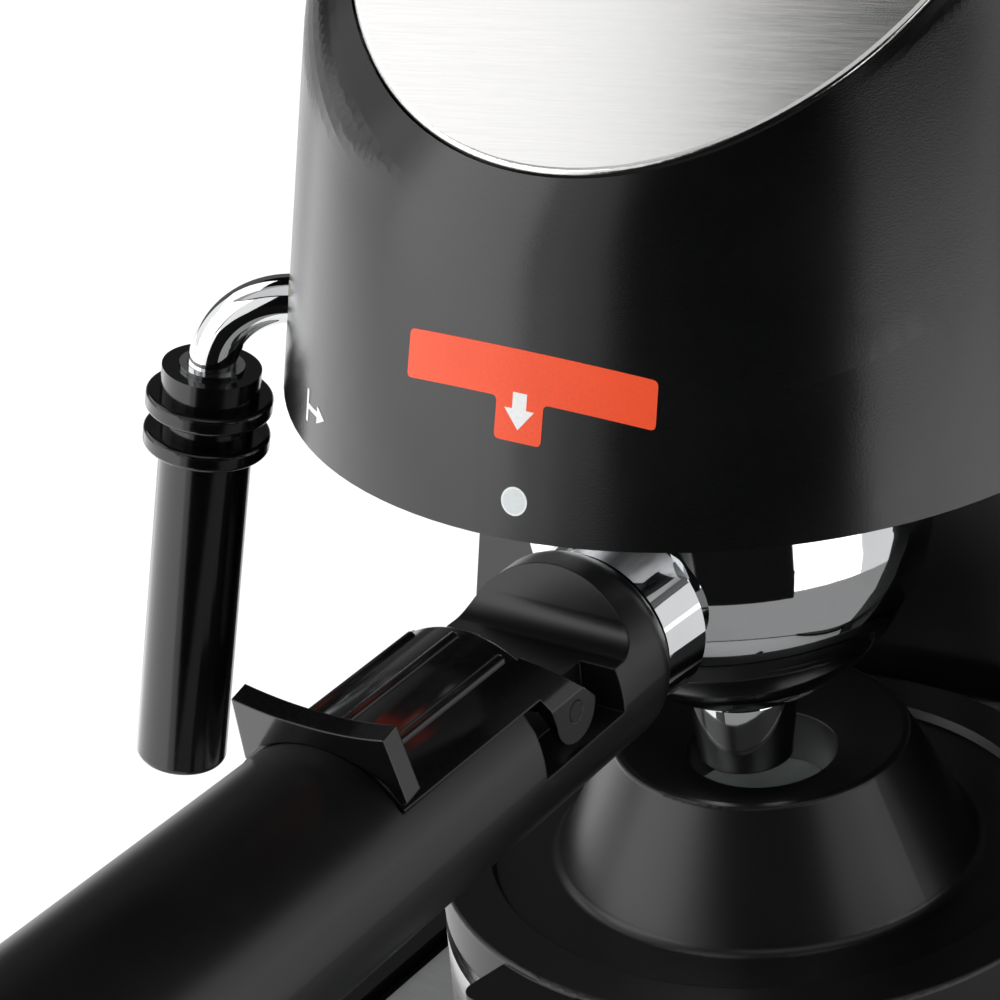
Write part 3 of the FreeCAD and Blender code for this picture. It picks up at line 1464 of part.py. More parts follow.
def make_switch():
    """Rocker switch with its frame in the tower, and the lamp in the head's side."""
    fall = f"(switch_height - foot_height) * {TAN}"
    face = f"(base_radius - {fall})"
    lean = Rotation(Vector(0, 1, 0), -size("body_draft"))
    move = Placement(Vector(size(face), size("switch_y"), size("switch_height")), lean)
    frame = new_body("switch_case", move)
    wide, high = "switch_half_wide", "switch_half_high"

    def rect(grow):
        return [(f"-({high} + {grow})", f"-({wide} + {grow})"), (f"{high} + {grow}", f"-({wide} + {grow})"),
                (f"{high} + {grow}", f"{wide} + {grow}"), (f"-({high} + {grow})", f"{wide} + {grow}")]

    frame.Placement = move * Placement(Vector(), Rotation(Vector(0, 1, 0), 90))
    pad(frame, "XY_Plane", [rect("-0.9")], "switch_depth + bezel_lift", "-switch_depth")
    pad(frame, "XY_Plane", [rect("bezel_edge")], "bezel_thick", "bezel_lift")
    pocket(frame, "XY_Plane", [rect("-2.4")], "switch_depth", "2 - switch_depth", back=True)
    pocket(frame, "XZ_Plane", [("0", "0", "trunnion_radius + run_gap")],
           f"2 * ({wide} - 2.4 + trunnion_seat)", mid=True)
    node(frame, "switch_frame")

    rocker = new_body("rocker_body", move * Placement(
        Vector(), Rotation(Vector(0, 1, 0), 90 - size("rocker_tilt"))))
    half = f"({high} - 2.4 - rocker_gap)"
    tip = "(bezel_thick + 2.6)"
    sag = "(bezel_thick + 1.2)"
    pad(rocker, "XZ_Plane", [[(f"-{half}", "-3"), ("-4", "-7"), ("4", "-7"), (half, "-3"),
                              (half, tip), ("0", sag), (f"-{half}", tip)]],
        f"2 * ({wide} - 2.4 - rocker_gap)", mid=True)
    pad(rocker, "XZ_Plane", [("0", "0", "trunnion_radius")],
        f"2 * ({wide} - 2.4 + trunnion_seat - face_gap)", mid=True)
    node(rocker, "power_rocker")

    fall = "(lens_height - head_bottom) * tan(head_draft)"
    move = Placement(Vector(size(f"head_radius - {fall}"), size("lens_y"), size("lens_height")),
                     Rotation(Vector(0, 1, 0), 90))
    dome = "(((lens_radius + 1.2)^2 + lens_proud^2) / (2 * lens_proud))"
    node(turned("lens", [
        ("0", "-7"), ("lens_radius", "-7"), ("lens_radius", "0.9"), ("lens_radius + 1.2", "0.9"),
        ("lens_radius + 1.2", "1.5"), ("0", "1.5 + lens_proud", dome)], move),
        "indicator_lens")


# Carafe: glass, band, handle, lid


def carafe_frame(turn=0.0):
    """Placement on the carafe's own axis."""
    return at("carafe_x", "carafe_y", spin_z=turn)


def make_carafe():
    """Glass carafe with its band, handle and screw, and the coned lid."""
    inner = "(glass_radius - glass_wall)"
    low = "grate_top"
    node(turned("glass", [
        ("0", low), ("glass_foot - glass_foot_round", low),
        ("glass_foot", f"{low} + glass_foot_round", "glass_foot_round"),
        ("glass_radius", "glass_shoulder", "60"), ("glass_radius", "glass_rim"),
        (inner, "glass_rim"), (inner, "glass_shoulder"),
        ("glass_foot - glass_wall", f"{low} + glass_foot_round", "-60"),
        ("glass_foot - glass_foot_round", f"{low} + glass_wall", "-(glass_foot_round - glass_wall)"),
        ("0", f"{low} + glass_wall")], carafe_frame()), "carafe_glass")

    band_in = "(glass_radius + 0.1)"
    node(turned("band", tube(band_in, f"{band_in} + band_thick", "band_low", "band_low + band_high"),
                carafe_frame()), "carafe_band")

    turn = size("carafe_turn")
    grip = new_body("grip_body", carafe_frame(turn))
    near = f"({band_in} + band_thick + 0.1)"
    far = f"({near} + grip_reach)"
    pad(grip, "YZ_Plane", [[
        (f"-({near} - 2)", "band_low"), (f"-({near} - 2)", "band_low + band_high"),
        (f"-({near} + 6)", "grip_top"), (f"-({far} - 14)", "grip_top"),
        (f"-{far}", "grip_top - 14", "14"), (f"-{far} + 3", "grip_bottom + 5"),
        (f"-{far} + 8", "grip_bottom", "5"), (f"-{far} + grip_thick", "grip_bottom + 3", "4"),
        (f"-{far} + grip_thick - 2", "grip_top - 20"),
        (f"-{far} + grip_thick + 6", "grip_top - 12", "-8"),
        (f"-({near} + 10)", "grip_top - 12"), (f"-({near} + 6)", "band_low", "-4.4")]],
        "2 * grip_half", mid=True)
    hug = round_bar(near, "band_low - 10", "grip_top + 10", move=carafe_frame() * at(z="band_low - 10"))
    node(cut(grip, hug), "carafe_handle")

    wall = "cone_wall"
    lid = new_body("lid_body", carafe_frame(turn))
    under = f"({CONE_LOW} - lid_plate)"
    spin(lid, [
        ("glass_radius + face_gap", "lid_skirt"), ("lid_radius - 0.2", "lid_skirt"),
        ("lid_radius", "lid_edge - 0.8"), ("lid_radius - 0.8", "lid_edge", "0.8"),
        ("lid_step + 0.8", "lid_edge"), ("lid_step", CONE_LOW),
        ("cone_foot + 1.5", CONE_LOW), ("cone_foot - 0.6", f"{CONE_LOW} + 1.4", "-2"),
        ("cone_rim", "cone_top - 0.5"), ("cone_rim - 0.5", "cone_top", "0.5"),
        ("cone_rim - 1.4", "cone_top"), ("funnel_bore", "cone_top - funnel_drop"),
        ("funnel_bore", "cone_top - funnel_drop - funnel_tube"),
        (f"funnel_bore + {wall}", "cone_top - funnel_drop - funnel_tube"),
        (f"funnel_bore + {wall}", "cone_top - funnel_drop - 1.4"),
        (f"cone_rim - {wall} - 0.6", f"cone_top - {wall} - 1.6"),
        (f"cone_foot - {wall} - 0.5", under), ("glass_radius - glass_wall - 1", under),
        ("glass_radius - glass_wall - 1", "glass_rim"), ("glass_radius + face_gap", "glass_rim")])
    pad(lid, "XY_Plane", [[("-tab_half", "-(lid_radius - 0.6)"), ("-tab_half", "-(tab_reach - 3)"),
                           ("3 - tab_half", "-tab_reach", "3"), ("tab_half - 3", "-tab_reach"),
                           ("tab_half", "-(tab_reach - 3)", "3"), ("tab_half", "-(lid_radius - 0.6)")]],
        "tab_thick", "lid_edge - tab_thick - 1")
    node(lid, "carafe_lid")


make_base()
make_tray()
make_tower()
make_head()
make_group()
make_boiler()
make_cap()
make_holder()
make_handle()
make_clip()
make_wand()
make_valve()
make_switch()
make_carafe()
doc.recompute()

# Every node moves so that the origin lies under the middle of the whole part

shift = Placement(Vector(0, size("brew_axis_y"), 0), Rotation())
for item in NODES:
    item.Placement = shift * item.Placement
doc.recompute()

problems = []
for item in doc.Objects:
    if "Invalid" in item.State or "Error" in item.State:
        problems.append(f"{item.Label}: {item.State}")
for item in NODES:
    if item.Shape.isNull() or not item.Shape.isValid():
        problems.append(f"{item.Label}: shape is null or not valid")
if problems:
    raise RuntimeError("; ".join(problems))

for item in NODES:
    item.Shape.exportStep(os.path.join("parts", item.Label + ".step"))
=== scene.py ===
import logging
import math
from dataclasses import dataclass
from enum import Enum
from typing import Callable, Sequence

import bmesh
import bpy
from mathutils import Matrix, Vector


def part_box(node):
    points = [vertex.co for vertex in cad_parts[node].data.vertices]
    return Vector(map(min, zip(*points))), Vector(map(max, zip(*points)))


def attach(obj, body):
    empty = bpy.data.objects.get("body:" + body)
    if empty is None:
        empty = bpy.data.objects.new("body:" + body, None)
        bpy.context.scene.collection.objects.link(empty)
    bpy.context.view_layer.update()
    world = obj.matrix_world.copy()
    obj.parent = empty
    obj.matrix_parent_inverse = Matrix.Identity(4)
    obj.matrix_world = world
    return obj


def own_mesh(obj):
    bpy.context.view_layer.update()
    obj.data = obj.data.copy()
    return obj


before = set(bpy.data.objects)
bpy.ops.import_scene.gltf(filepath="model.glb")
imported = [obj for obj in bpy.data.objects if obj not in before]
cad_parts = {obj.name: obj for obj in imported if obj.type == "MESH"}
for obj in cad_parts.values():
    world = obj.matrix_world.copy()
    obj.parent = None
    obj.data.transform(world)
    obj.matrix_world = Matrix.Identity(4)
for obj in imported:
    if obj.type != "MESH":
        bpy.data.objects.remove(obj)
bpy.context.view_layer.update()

# Steam espresso machine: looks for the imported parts, in metres, front towards -Y

LOG = logging.getLogger("espresso_machine")
MM = 0.001
WHITE = (1.0, 1.0, 1.0, 1.0)

# Place of the brew axis in millimetres, and angles of the head's wall and its steel panel in degrees
BREW_Y = 35.7
HEAD_LEAN = 6.8
HEAD_DRAFT = 5.0
PANEL_SLOPE = 34.0

Colour = tuple[float, float, float]


def toned(tint: Colour, share: float, lift: float = 0.0) -> Colour:
    """Colour made darker or lighter, at most white."""
    return tuple(min(1.0, c * share + lift) for c in tint)


def grey(value: float) -> Colour:
    """Neutral colour."""
    return (value, value, value)


class Body(Enum):
    """Bodies that carry the pieces made here."""

    MACHINE = "machine"
    KNOB = "knob"


class Wire:
    """Output socket of a shader tree; its operators add Math nodes."""

    def __init__(self, tree: "Tree", socket: bpy.types.NodeSocket) -> None:
        """Keeps the tree and the socket.

        Args:
            tree: Tree that owns the socket.
            socket: Output socket to wrap.
        """
        self.tree = tree
        self.socket = socket

    def _math(self, operation: str, first: "Wire | float", second: "Wire | float") -> "Wire":
        """Math node on two values.

        Args:
            operation: Name of the Math operation.
            first: First value.
            second: Second value.

        Returns:
            The node's result.
        """
        return self.tree.make("ShaderNodeMath", {"operation": operation}, {0: first, 1: second})

    def __add__(self, other: "Wire | float") -> "Wire":
        """Sum."""
        return self._math("ADD", self, other)

    def __radd__(self, other: float) -> "Wire":
        """Sum with a number on the left."""
        return self._math("ADD", other, self)

    def __sub__(self, other: "Wire | float") -> "Wire":
        """Difference."""
        return self._math("SUBTRACT", self, other)

    def __rsub__(self, other: float) -> "Wire":
        """Difference from a number."""
        return self._math("SUBTRACT", other, self)

    def __mul__(self, other: "Wire | float") -> "Wire":
        """Product."""
        return self._math("MULTIPLY", self, other)

    def __rmul__(self, other: float) -> "Wire":
        """Product with a number on the left."""
        return self._math("MULTIPLY", other, self)

    def __pow__(self, other: float) -> "Wire":
        """Power."""
        return self._math("POWER", self, other)

    def larger(self, other: "Wire | float") -> "Wire":
        """Larger of two values."""
        return self._math("MAXIMUM", self, other)

    def swing(self, amount: float) -> "Wire":
        """Noise about 0.5 turned into a swing about 0."""
        return (self - 0.5) * amount

    def step(self, low: float, high: float) -> "Wire":
        """Smooth step of the value from 0 at low to 1 at high.

        Args:
            low: Value that gives 0.
            high: Value that gives 1.

        Returns:
            The stepped value.
        """
        settings = {"interpolation_type": "SMOOTHSTEP"}
        return self.tree.make("ShaderNodeMapRange", settings, {0: self, 1: low, 2: high, 3: 0.0, 4: 1.0})


class Tree:
    """Shader tree of one material or of the world."""

    def __init__(self, owner: bpy.types.Material | bpy.types.World) -> None:
        """Empties the owner's tree.

        Args:
            owner: Material or world whose nodes are made here.
        """
        owner.use_nodes = True
        self.nodes = owner.node_tree.nodes
        self.links = owner.node_tree.links
        self.nodes.clear()

    def make(self, kind: str, settings: dict[str, object], sockets: dict[str | int, object],
             result: str | int = 0) -> Wire:
        """Adds a node, sets it up and joins its sockets.

        Args:
            kind: Node type.
            settings: Properties set first.
            sockets: Values or wires by input name or index.
            result: Output to return.

        Returns:
            The chosen output, or the first input of a node that has no output.
        """
        node = self.nodes.new(kind)
        for name, value in settings.items():
            setattr(node, name, value)
        for key, value in sockets.items():
            if isinstance(value, Wire):
                self.links.new(value.socket, node.inputs[key])
            else:
                node.inputs[key].default_value = value
        return Wire(self, node.outputs[result]) if node.outputs else Wire(self, node.inputs[0])

    def surface(self, sockets: dict[str, object]) -> Wire:
        """Principled shader with the given sockets."""
        return self.make("ShaderNodeBsdfPrincipled", {}, sockets)

    def place(self) -> Wire:
        """Point in the machine's frame."""
        return self.make("ShaderNodeTexCoord", {}, {}, "Object")

    def stretched(self, cells: Sequence[float], slope: float, turn: float) -> Wire:
        """Point counted in long cells, for grain that runs one way on a sloping face.

        Args:
            cells: Size of a cell along the three axes, in metres.
            slope: Tilt of the face about X, in degrees.
            turn: Turn of the grain on the face, in degrees.

        Returns:
            The mapped point.
        """
        level = self.make("ShaderNodeMapping", {"vector_type": "TEXTURE"},
                          {"Vector": self.place(), "Rotation": (math.radians(slope), 0.0, 0.0)})
        return self.make("ShaderNodeMapping", {"vector_type": "TEXTURE"},
                         {"Vector": level, "Rotation": (0.0, 0.0, math.radians(turn)), "Scale": cells})

    def noise(self, scale: float, detail: float, point: Wire | None = None, rough: float = 0.5) -> Wire:
        """Noise value about 0.5.

        Args:
            scale: Cells per metre, or per unit of the point given.
            detail: Octaves.
            point: Point to read; the plain place if left out.
            rough: How strongly the finer octaves count.

        Returns:
            The noise value.
        """
        sockets = {"Vector": point or self.place(), "Scale": scale, "Detail": detail, "Roughness": rough}
        return self.make("ShaderNodeTexNoise", {"normalize": True}, sockets)

    def blend(self, factor: Wire, first: Colour, second: Colour) -> Wire:
        """Colour between two colours.

        Args:
            factor: 0 gives the first and 1 the second.
            first: First colour.
            second: Second colour.

        Returns:
            The mixed colour.
        """
        return self.make("ShaderNodeMix", {"data_type": "RGBA"},
                         {0: factor, 6: (*first, 1.0), 7: (*second, 1.0)}, 2)

    def unit(self, vector: Wire) -> Wire:
        """Vector brought to length 1."""
        return self.make("ShaderNodeVectorMath", {"operation": "NORMALIZE"}, {0: vector})

    def axes(self, point: Wire) -> tuple[Wire, Wire, Wire]:
        """Three coordinates of a point."""
        node = self.make("ShaderNodeSeparateXYZ", {}, {0: point}).socket.node
        return tuple(Wire(self, socket) for socket in node.outputs)

    def bump(self, height: Wire, depth: float, facing: Wire | None = None) -> Wire:
        """Normal from a height.

        Args:
            height: Height value, 0 to 1.
            depth: Real depth in metres.
            facing: Normal of the surface before the height; the mesh's own if left out.

        Returns:
            The bumped normal.
        """
        sockets = {"Height": height, "Distance": depth, "Strength": 1.0}
        if facing is not None:
            sockets["Normal"] = facing
        return self.make("ShaderNodeBump", {}, sockets)

    def finish(self, shader: Wire) -> None:
        """Joins a shader to the material's output."""
        self.make("ShaderNodeOutputMaterial", {}, {"Surface": shader})


class Finish:
    """Base of the finishes: makes its material once and puts it on objects."""

    name: str

    def shade(self, tree: Tree) -> Wire:
        """Shader of the finish; each finish has its own."""
        raise NotImplementedError

    def material(self) -> bpy.types.Material:
        """Material of this finish, made on first use.

        Returns:
            The material.
        """
        name = f"{type(self).__name__.lower()}_{self.name}"
        found = bpy.data.materials.get(name)
        if found is None:
            found = bpy.data.materials.new(name)
            tree = Tree(found)
            tree.finish(self.shade(tree))
        return found

    def put(self, item: bpy.types.Object) -> None:
        """Makes this the only material of an object.

        Args:
            item: Object to cover.
        """
        item.data.materials.clear()
        item.data.materials.append(self.material())
        item.data.polygons.foreach_set("material_index", [0] * len(item.data.polygons))


@dataclass(frozen=True)
class Moulded(Finish):
    """Moulded plastic: spark-eroded grain and faint flow marks.

    The grain, its depth and the round of the edges are in millimetres, the flow marks are counted per
    metre, and the wear is how much they change the gloss.
    """

    name: str
    tint: Colour
    rough: float
    grain: float = 0.35
    depth: float = 0.012
    specular: float = 0.5
    wear: float = 0.25
    edge: float = 0.0
    edge_rays: int = 6
    flow: float = 38.0

    def facing(self, tree: Tree) -> Wire | None:
        """Normal of the surface under its grain, with its edges broken.

        Args:
            tree: Tree of the material.

        Returns:
            The normal, or none for the mesh's own.
        """
        if self.edge:
            return tree.make("ShaderNodeBevel", {"samples": self.edge_rays}, {"Radius": self.edge * MM})
        return None

    def shade(self, tree: Tree) -> Wire:
        """Plastic shader with a grained surface.

        Args:
            tree: Tree of the material.

        Returns:
            The shader.
        """
        flow = tree.noise(self.flow, 3.0)
        fine = tree.noise(1.0 / (self.grain * MM), 2.0)
        darker = toned(self.tint, 0.8)
        lighter = toned(self.tint, 1.35, 0.001)
        colour = tree.blend((fine * 0.5 + flow * 0.5).step(0.3, 0.7), darker, lighter)
        rough = flow.swing(self.wear) * 0.4 + fine.swing(0.06) + self.rough
        return tree.surface({
            "Base Color": colour, "Roughness": rough, "Specular IOR Level": self.specular,
            "Normal": tree.bump(fine, self.depth * MM, self.facing(tree))})


@dataclass(frozen=True)
class Blended(Moulded):
    """Moulded head whose brow runs into the wall without a crease.

    The lean and the draft are those of the wall and the slope that of the steel panel, in degrees. The
    rest is in millimetres: the height where the panel's plane crosses the brew axis, the bottom of the
    wall, the band below that plane that the brow takes up, the back where it ends behind the wall's
    axis, and the stretches over which it fades out there.
    """

    lean: float = HEAD_LEAN
    draft: float = HEAD_DRAFT
    slope: float = PANEL_SLOPE
    height: float = 264.0
    bottom: float = 183.5
    band: float = 17.0
    band_fade: float = 3.0
    back: float = 45.0
    back_fade: float = 25.0

    def facing(self, tree: Tree) -> Wire:
        """Normal that follows the wall on the brow and is the mesh's own elsewhere.

        Args:
            tree: Tree of the material.

        Returns:
            The normal.
        """
        across, along, up = tree.axes(tree.place())
        lean = math.tan(math.radians(self.lean))
        draft = math.tan(math.radians(self.draft))
        behind = along - BREW_Y * MM - (up - self.bottom * MM) * lean
        front = -1.0 * (-1.0 * behind).larger(0.0)
        reach = (across * across + front * front) ** 0.5
        wall = tree.make("ShaderNodeCombineXYZ", {}, {0: across, 1: front, 2: reach * draft - front * lean})
        plane = (along - BREW_Y * MM) * math.tan(math.radians(self.slope)) + self.height * MM
        depth = (plane - up) * math.cos(math.radians(self.slope))
        near = 1.0 - depth.step((self.band - self.band_fade) * MM, self.band * MM)
        ahead = 1.0 - behind.step((self.back - self.back_fade) * MM, self.back * MM)
        own = tree.make("ShaderNodeNewGeometry", {}, {}, "Normal")
        mixed = tree.make("ShaderNodeMix", {"data_type": "VECTOR"},
                          {0: near * ahead, 4: own, 5: tree.unit(wall)}, 1)
        return tree.unit(mixed)


@dataclass(frozen=True)
class Brushed(Finish):
    """Brushed steel: long scratches one way, in broader bands.

    The scratches' pitch, length and depth are in millimetres, and a band is so many times as long and
    as wide as a scratch. The face slopes about X, and the scratches turn on it, in degrees.
    """

    name: str
    tint: Colour
    rough: float
    slope: float = 0.0
    turn: float = 0.0
    pitch: float = 0.11
    length: float = 7.0
    depth: float = 0.0012
    band_long: float = 9.0
    band_wide: float = 11.0

    def shade(self, tree: Tree) -> Wire:
        """Metal shader with scratches along one direction.

        Args:
            tree: Tree of the material.

        Returns:
            The shader.
        """
        long = self.length * MM
        wide = self.pitch * MM
        fine_cell = (long, wide, wide)
        band_cell = (long * self.band_long, wide * self.band_wide, wide * self.band_wide)
        lines = tree.noise(1.0, 3.0, tree.stretched(fine_cell, self.slope, self.turn), 0.65)
        bands = tree.noise(1.0, 2.0, tree.stretched(band_cell, self.slope, self.turn))
        darker = toned(self.tint, 0.86)
        colour = tree.blend((lines * 0.7 + bands * 0.3).step(0.3, 0.7), darker, self.tint)
        rough = lines.swing(0.12) + bands.swing(0.06) + self.rough
        return tree.surface({
            "Base Color": colour, "Metallic": 1.0, "Roughness": rough,
            "Normal": tree.bump(lines, self.depth * MM)})


@dataclass(frozen=True)
class Plated(Finish):
    """Bright plating with a faint ripple, in millimetres, and a trace of handling.

    Smears and waves are counted per metre.
    """

    name: str
    tint: Colour
    rough: float
    ripple: float = 0.02
    smears: float = 60.0
    waves: float = 70.0

    def shade(self, tree: Tree) -> Wire:
        """Mirror metal shader.

        Args:
            tree: Tree of the material.

        Returns:
            The shader.
        """
        smear = tree.noise(self.smears, 4.0)
        wave = tree.noise(self.waves, 1.0)
        colour = tree.blend(smear.step(0.35, 0.7), self.tint, toned(self.tint, 0.93))
        rough = smear.step(0.5, 0.8) * 0.05 + self.rough
        return tree.surface({
            "Base Color": colour, "Metallic": 1.0, "Roughness": rough,
            "Normal": tree.bump(wave, self.ripple * MM)})


@dataclass(frozen=True)
class Cast(Finish):
    """Cast or turned metal for the inner parts: grainy, with a dull oxide.

    The grain and its depth are in millimetres, and the clouds of oxide are counted per metre.
    """

    name: str
    tint: Colour
    rough: float
    grain: float = 0.5
    depth: float = 0.02
    clouds: float = 90.0

    def shade(self, tree: Tree) -> Wire:
        """Dull metal shader with a coarse grain.

        Args:
            tree: Tree of the material.

        Returns:
            The shader.
        """
        grain = tree.noise(1.0 / (self.grain * MM), 3.0)
        cloud = tree.noise(self.clouds, 4.0)
        colour = tree.blend(cloud.step(0.35, 0.7), self.tint, toned(self.tint, 0.6))
        return tree.surface({
            "Base Color": colour, "Metallic": 1.0, "Roughness": cloud.swing(0.3) + self.rough,
            "Normal": tree.bump(grain, self.depth * MM)})


@dataclass(frozen=True)
class Rubber(Finish):
    """Soft black rubber with a dusty bloom.

    Blooms and pores are counted per metre, and the pores' depth is in millimetres.
    """

    name: str
    tint: Colour
    rough: float = 0.62
    specular: float = 0.35
    blooms: float = 120.0
    pores: float = 1500.0
    depth: float = 0.02

    def shade(self, tree: Tree) -> Wire:
        """Rubber shader.

        Args:
            tree: Tree of the material.

        Returns:
            The shader.
        """
        bloom = tree.noise(self.blooms, 4.0)
        colour = tree.blend(bloom.step(0.4, 0.75), self.tint, toned(self.tint, 1.8, 0.01))
        return tree.surface({
            "Base Color": colour, "Roughness": bloom * 0.2 + self.rough, "Specular IOR Level": self.specular,
            "Normal": tree.bump(tree.noise(self.pores, 2.0), self.depth * MM)})


@dataclass(frozen=True)
class Blown(Finish):
    """Clear blown glass, faintly green, with a hint of water marks.

    Marks and waves are counted per metre, and the waves' depth is in millimetres.
    """

    name: str
    tint: Colour
    index: float = 1.47
    marks: float = 140.0
    waves: float = 40.0
    depth: float = 0.03

    def shade(self, tree: Tree) -> Wire:
        """Glass shader.

        Args:
            tree: Tree of the material.

        Returns:
            The shader.
        """
        marks = tree.noise(self.marks, 5.0)
        colour = tree.blend(marks, self.tint, toned(self.tint, 1.04))
        return tree.surface({
            "Base Color": colour, "Transmission Weight": 1.0, "IOR": self.index,
            "Roughness": marks.step(0.62, 0.85) * 0.06,
            "Normal": tree.bump(tree.noise(self.waves, 1.0), self.depth * MM)})


@dataclass(frozen=True)
class Ink(Finish):
    """Printed or stuck-on film with a fine dither and soft sheen.

    Dither and clouds are counted per metre, and the dither's depth is in millimetres.
    """

    name: str
    tint: Colour
    rough: float = 0.38
    specular: float = 0.5
    dither: float = 2600.0
    clouds: float = 55.0
    depth: float = 0.004

    def shade(self, tree: Tree) -> Wire:
        """Film shader.

        Args:
            tree: Tree of the material.

        Returns:
            The shader.
        """
        fine = tree.noise(self.dither, 2.0)
        cloud = tree.noise(self.clouds, 2.0)
        spread = (fine * 0.5 + cloud * 0.5).step(0.35, 0.65)
        return tree.surface({
            "Base Color": tree.blend(spread, toned(self.tint, 0.9), self.tint),
            "Roughness": cloud.swing(0.1) + self.rough,
            "Specular IOR Level": self.specular, "Normal": tree.bump(fine, self.depth * MM)})


@dataclass(frozen=True)
class Lamp(Finish):
    """Glossy lamp cover, cloudy inside.

    Clouds are counted per metre, and their depth is in millimetres.
    """

    name: str
    tint: Colour
    rough: float = 0.12
    coat: float = 0.4
    clouds: float = 700.0
    depth: float = 0.02

    def shade(self, tree: Tree) -> Wire:
        """Lamp cover shader.

        Args:
            tree: Tree of the material.

        Returns:
            The shader.
        """
        cloud = tree.noise(self.clouds, 2.0)
        return tree.surface({
            "Base Color": tree.blend(cloud, toned(self.tint, 0.55), self.tint),
            "Roughness": cloud * 0.1 + self.rough,
            "Coat Weight": self.coat, "Normal": tree.bump(cloud, self.depth * MM)})


SHELL = Moulded("shell", (0.0036, 0.0038, 0.004), 0.22, grain=0.3, depth=0.009)
BROW = Blended("brow", SHELL.tint, SHELL.rough, grain=SHELL.grain, depth=SHELL.depth)
GRIP = Moulded("grip", (0.0032, 0.0033, 0.0035), 0.33, grain=0.25, depth=0.008, specular=0.45, edge=0.45)
GLOSS = Moulded("gloss", (0.0028, 0.0028, 0.003), 0.12, grain=0.8, depth=0.003, wear=0.12, edge=0.35)
TUBE = Moulded("tube", (0.0016, 0.0016, 0.0018), 0.13, grain=0.5, depth=0.002, wear=0.1)
PANEL = Brushed("panel", (0.74, 0.735, 0.725), 0.17, slope=PANEL_SLOPE, turn=8.0)
SHEET = Brushed("sheet", (0.72, 0.73, 0.73), 0.56)
BAND = Brushed("band", (0.66, 0.66, 0.66), 0.24)
CHROME = Plated("chrome", (0.80, 0.81, 0.82), 0.035)
BRIGHT = Plated("bright", (0.74, 0.75, 0.76), 0.09)
ALLOY = Cast("alloy", (0.62, 0.62, 0.63), 0.45)
BRASS = Cast("brass", (0.66, 0.50, 0.22), 0.38, grain=0.3)
ZINC = Plated("zinc", (0.60, 0.61, 0.62), 0.28)
BLACKED = Plated("blacked", (0.05, 0.05, 0.055), 0.3)
SOFT = Rubber("soft", (0.018, 0.018, 0.018))
GLASS = Blown("carafe", (0.93, 0.965, 0.945))
WHITE_INK = Ink("white", (0.88, 0.89, 0.89))
PALE_INK = Ink("pale", (0.70, 0.74, 0.75))
ORANGE_FILM = Ink("orange", (0.96, 0.092, 0.026), rough=0.34, specular=0.3)
RED_LAMP = Lamp("red", (0.55, 0.03, 0.02))


def new_object(name: str, bm: bmesh.types.BMesh, crease: float = 32.0) -> bpy.types.Object:
    """Object from a bmesh, shaded smooth up to a crease angle.

    Args:
        name: Name of the object.
        bm: Mesh, in metres in the machine's frame; it is freed.
        crease: Angle above which an edge stays sharp, in degrees.

    Returns:
        The new object.
    """
    mesh = bpy.data.meshes.new(name)
    bmesh.ops.recalc_face_normals(bm, faces=bm.faces)
    bm.to_mesh(mesh)
    bm.free()
    mesh.shade_smooth()
    mesh.set_sharp_from_angle(angle=math.radians(crease))
    item = bpy.data.objects.new(name, mesh)
    bpy.context.scene.collection.objects.link(item)
    return item


@dataclass
class Outline:
    """Flat outline drawn with straight sides and rounded corners, in millimetres."""

    corners: Sequence[tuple[float, float]]
    rounding: float = 0.0
    steps: int = 5

    def points(self) -> list[tuple[float, float]]:
        """Points of the outline with its corners rounded.

        Returns:
            The points, in the order of the corners.
        """
        if not self.rounding:
            return list(self.corners)
        result: list[tuple[float, float]] = []
        count = len(self.corners)
        for i, corner in enumerate(self.corners):
            here = Vector(corner)
            back = (Vector(self.corners[i - 1]) - here).normalized() * self.rounding
            ahead = (Vector(self.corners[(i + 1) % count]) - here).normalized() * self.rounding
            for k in range(self.steps + 1):
                share = k / self.steps
                bend = here + back * (1.0 - share) ** 2 + ahead * share ** 2
                result.append((bend.x, bend.y))
        return result

    @staticmethod
    def ring(radius: float, steps: int = 40) -> "Outline":
        """Round outline about the origin."""
        return Outline([(math.cos(t) * radius, math.sin(t) * radius)
                        for t in (i * math.tau / steps for i in range(steps))])


Place = Callable[[float, float, float], Vector]


def film(name: str, outline: Outline, place: Place, finish: Finish, body: Body,
         thick: float = 0.08, cell: float = 1.0) -> bpy.types.Object:
    """Thin closed film laid on a surface.

    Args:
        name: Name of the film.
        outline: Flat outline of the film.
        place: Gives the point, in metres, for a flat place and a height off the surface in mm.
        finish: What it is made of.
        body: Body that it moves with.
        thick: How far its top stands off the surface, in millimetres.
        cell: Size of the facets that follow the surface, in millimetres.

    Returns:
        The film.
    """
    bm = bmesh.new()
    points = outline.points()
    bm.faces.new([bm.verts.new((x, y, 0.0)) for x, y in points])
    for axis in (0, 1):
        normal = Vector((1.0 - axis, axis, 0.0))
        low = min(p[axis] for p in points)
        high = max(p[axis] for p in points)
        cuts = int((high - low) / cell)
        for i in range(1, cuts):
            bmesh.ops.bisect_plane(bm, geom=bm.verts[:] + bm.edges[:] + bm.faces[:],
                                   plane_co=normal * (low + (high - low) * i / cuts), plane_no=normal)
    grown = bmesh.ops.extrude_face_region(bm, geom=bm.faces[:])
    top = {v for v in grown["geom"] if isinstance(v, bmesh.types.BMVert)}
    for vert in bm.verts:
        vert.co = place(vert.co.x, vert.co.y, thick if vert in top else -thick)
    item = new_object(name, bm)
    finish.put(item)
    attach(item, body.value)
    return item


